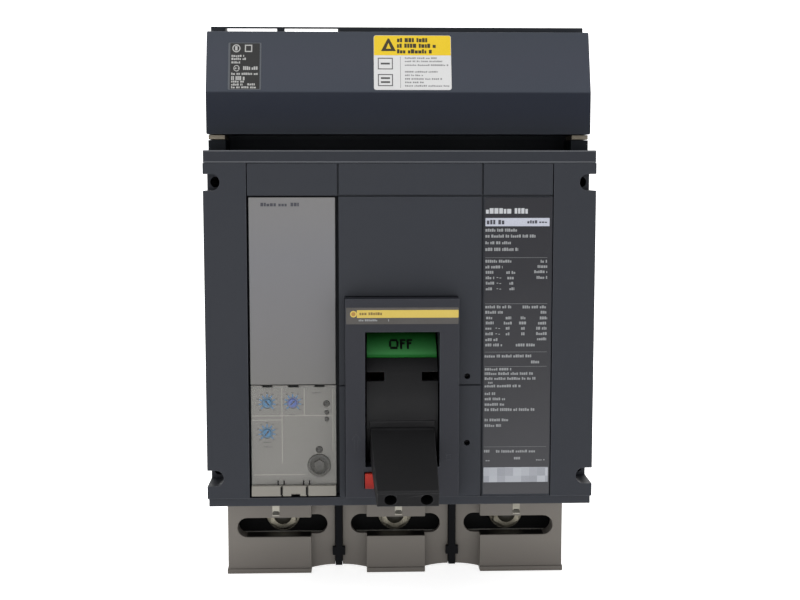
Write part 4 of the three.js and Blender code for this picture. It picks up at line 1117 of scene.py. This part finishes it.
# =====================================================================
# black sheets round the lugs: painted shade behind the lugs, on the shroud ledges and in the gaps
# at the barriers
# =====================================================================
SCREEN_HALF_WIDTH = 30.2
SILL_X = ((-91.4, -52.3), (-17.4, 17.7), (52.5, 91.4))
for side, x in POLES:
    edges = (x - SCREEN_HALF_WIDTH, x + SCREEN_HALF_WIDTH)
    # black sheet in front of each lug: painted shade inside the shroud
    slab(f"lug_screen_{side}", round_rect(*edges, -139.4, -100.0, 0.5), (41.02, 41.24),
         FROM_ORIGIN, "black_recess")
    # dark glossy sheet on each shelf: painted shade
    slab(f"shelf_shade_{side}", round_rect(*edges, 44.9, 53.2, 0.4), (-139.58, -139.48), level,
         "glossy_shelf")
for (side, _), edges in zip(POLES, SILL_X):
    # dark glossy sheet on each window sill: painted shade
    slab(f"window_sill_shade_{side}", round_rect(*edges, 53.6, 63.8, 0.3), (-136.58, -136.48), level,
         "glossy_shelf")
# black sheets between the barriers and the shroud walls, midway between the poles: painted shade
# that closes the light gaps
for side, x in (("left", -POLE_PITCH / 2), ("right", POLE_PITCH / 2)):
    slab(f"barrier_gap_shade_{side}", round_rect(x - 2.28, x + 2.28, -156.0, -97.0, 0.2),
         (52.0, 52.6), FROM_ORIGIN, "black_recess")

# =====================================================================
# flat faces along the top edge of the case, painted highlight lines on its edges, and faces over
# its two upper pockets
# =====================================================================
POCKET_X, POCKET_Z = 100.5, 80.7    # centre of the pocket's rounded corner
POCKET_RADIUS = 4.45
POCKET_TOP = 91.1
slab("top_ledge", rect(-104.7, 104.7, 91.2, 97.7), (-2.4, 0.3), COVER, "case_ledge", rim=0.3)
# two light strips on the ledge's top and bottom edges: painted highlights
slabs("ledge_corners", [rect(-104.5, 104.5, 97.1, 97.6), rect(-104.5, 104.5, 91.3, 91.8)],
      (0.2, 0.34), COVER, "ledge_highlight")
pocket = [(POCKET_X + POCKET_RADIUS, POCKET_TOP),
          (POCKET_X + POCKET_RADIUS, POCKET_Z + POCKET_RADIUS)]
for degrees in range(0, 91, 10):
    t = math.radians(degrees)
    pocket.append((POCKET_X - POCKET_RADIUS * math.sin(t), POCKET_Z + POCKET_RADIUS * math.cos(t)))
pocket.append((82.0, POCKET_TOP))
for side, outline in (("left", [(-x, z) for x, z in pocket]), ("right", pocket[::-1])):
    slab(f"pocket_face_{side}", outline, (-2.3, 0.05), COVER, "case_face")

# black strips behind the three notches of the clear door: painted shade in the recess
slabs("door_notch_shade", [rect(x - 2.6, x + 2.6, -29.3, -28.45) for x in (-72.0, -58.0, -43.9)],
      (146.25, 146.35), FROM_ORIGIN, "black_recess", "dial_cover")


# =====================================================================
# stage, in metres: pale floor running up into a backdrop
# =====================================================================
FLOOR_Z = -0.1598
FLOOR_FRONT, FLOOR_BACK = -4.0, 1.4
BEND_RADIUS = 0.9
BEND_STEPS = 16
WALL_TOP = 4.2
BACKDROP_X = (-5, -1.5, 0, 1.5, 5)


def add_backdrop():
    profile = [(FLOOR_FRONT, FLOOR_Z), (FLOOR_BACK, FLOOR_Z)]
    for i in range(1, BEND_STEPS + 1):
        t = math.radians(90 * i / BEND_STEPS)
        profile.append((FLOOR_BACK + BEND_RADIUS * math.sin(t),
                        FLOOR_Z + BEND_RADIUS * (1 - math.cos(t))))
    profile.append((FLOOR_BACK + BEND_RADIUS, WALL_TOP))
    bm = bmesh.new()
    rows = [[bm.verts.new((x, y, z)) for x in BACKDROP_X] for y, z in profile]
    for near, far in zip(rows, rows[1:]):
        for i in range(len(BACKDROP_X) - 1):
            bm.faces.new((near[i], near[i + 1], far[i + 1], far[i]))
    mesh = bpy.data.meshes.new("backdrop")
    bm.to_mesh(mesh)
    bm.free()
    shade(mesh)
    surface = Surface("backdrop")
    surface.set("Base Color", surface.mix(surface.noise(scale=3.0), (0.90, 0.90, 0.90, 1),
                                          (0.94, 0.94, 0.94, 1)))
    surface.set("Roughness", 0.8)
    surface.set("Specular IOR Level", 0.1)
    surface.set("Emission Color", (1, 1, 1, 1))
    surface.set("Emission Strength", 0.78)
    mesh.materials.append(surface.material)
    obj = bpy.data.objects.new("backdrop", mesh)
    SCENE.collection.objects.link(obj)


add_backdrop()

# =====================================================================
# lights, world and camera, in metres
# =====================================================================
# name, place, point it faces, width, height, power in watts
LIGHTS = (
    ("key", (-0.75, -1.35, 1.25), (0, -0.1, 0.0), 1.3, 1.0, 7),
    ("fill", (1.2, -1.3, 0.55), (0, -0.1, 0.0), 1.0, 1.2, 3),
    ("low", (-0.1, -1.7, 0.12), (0, -0.1, -0.08), 1.4, 0.5, 4),
    ("top", (0.1, -0.35, 1.7), (0, -0.08, 0.0), 1.8, 1.4, 9),
    ("rim", (0.0, 1.1, 1.2), (0, 0, 0.05), 1.6, 0.6, 6),
)


def add_facing(name, data, place, direction):
    """Links a light or camera that looks along direction."""
    obj = bpy.data.objects.new(name, data)
    obj.location = place
    obj.rotation_euler = direction.to_track_quat("-Z", "Y").to_euler()
    SCENE.collection.objects.link(obj)
    return obj


for name, place, target, width, height, power in LIGHTS:
    light = bpy.data.lights.new(name, "AREA")
    light.shape = "RECTANGLE"
    light.size = width
    light.size_y = height
    light.energy = power
    light.spread = math.radians(180)
    add_facing(name, light, place, Vector(target) - Vector(place))

# soft white surroundings; the camera sees plain white past the end of the floor
WORLD_LIGHT = 0.42
world = bpy.data.worlds.new("studio")
SCENE.world = world
world.use_nodes = True
background = world.node_tree.nodes["Background"].inputs
background["Color"].default_value = (1.0, 1.0, 1.0, 1)
background["Strength"].default_value = WORLD_LIGHT
sky = Graph(world.node_tree)
camera_ray = sky.node("LightPath").outputs["Is Camera Ray"]
sky.feed(background["Strength"], sky.ramp(camera_ray, span=(0.0, 1.0), to=(WORLD_LIGHT, 1.0)))

camera = bpy.data.cameras.new("camera")
camera.lens = 56.83
camera.sensor_width = 36.0
camera.clip_end = 20
SCENE.camera = add_facing("camera", camera, (-0.02465, -0.8225, 0.08715),
                          Vector((0.0358, 0.9941, -0.1022)))
SCENE.view_settings.view_transform = "Standard"
SCENE.view_settings.look = "None"
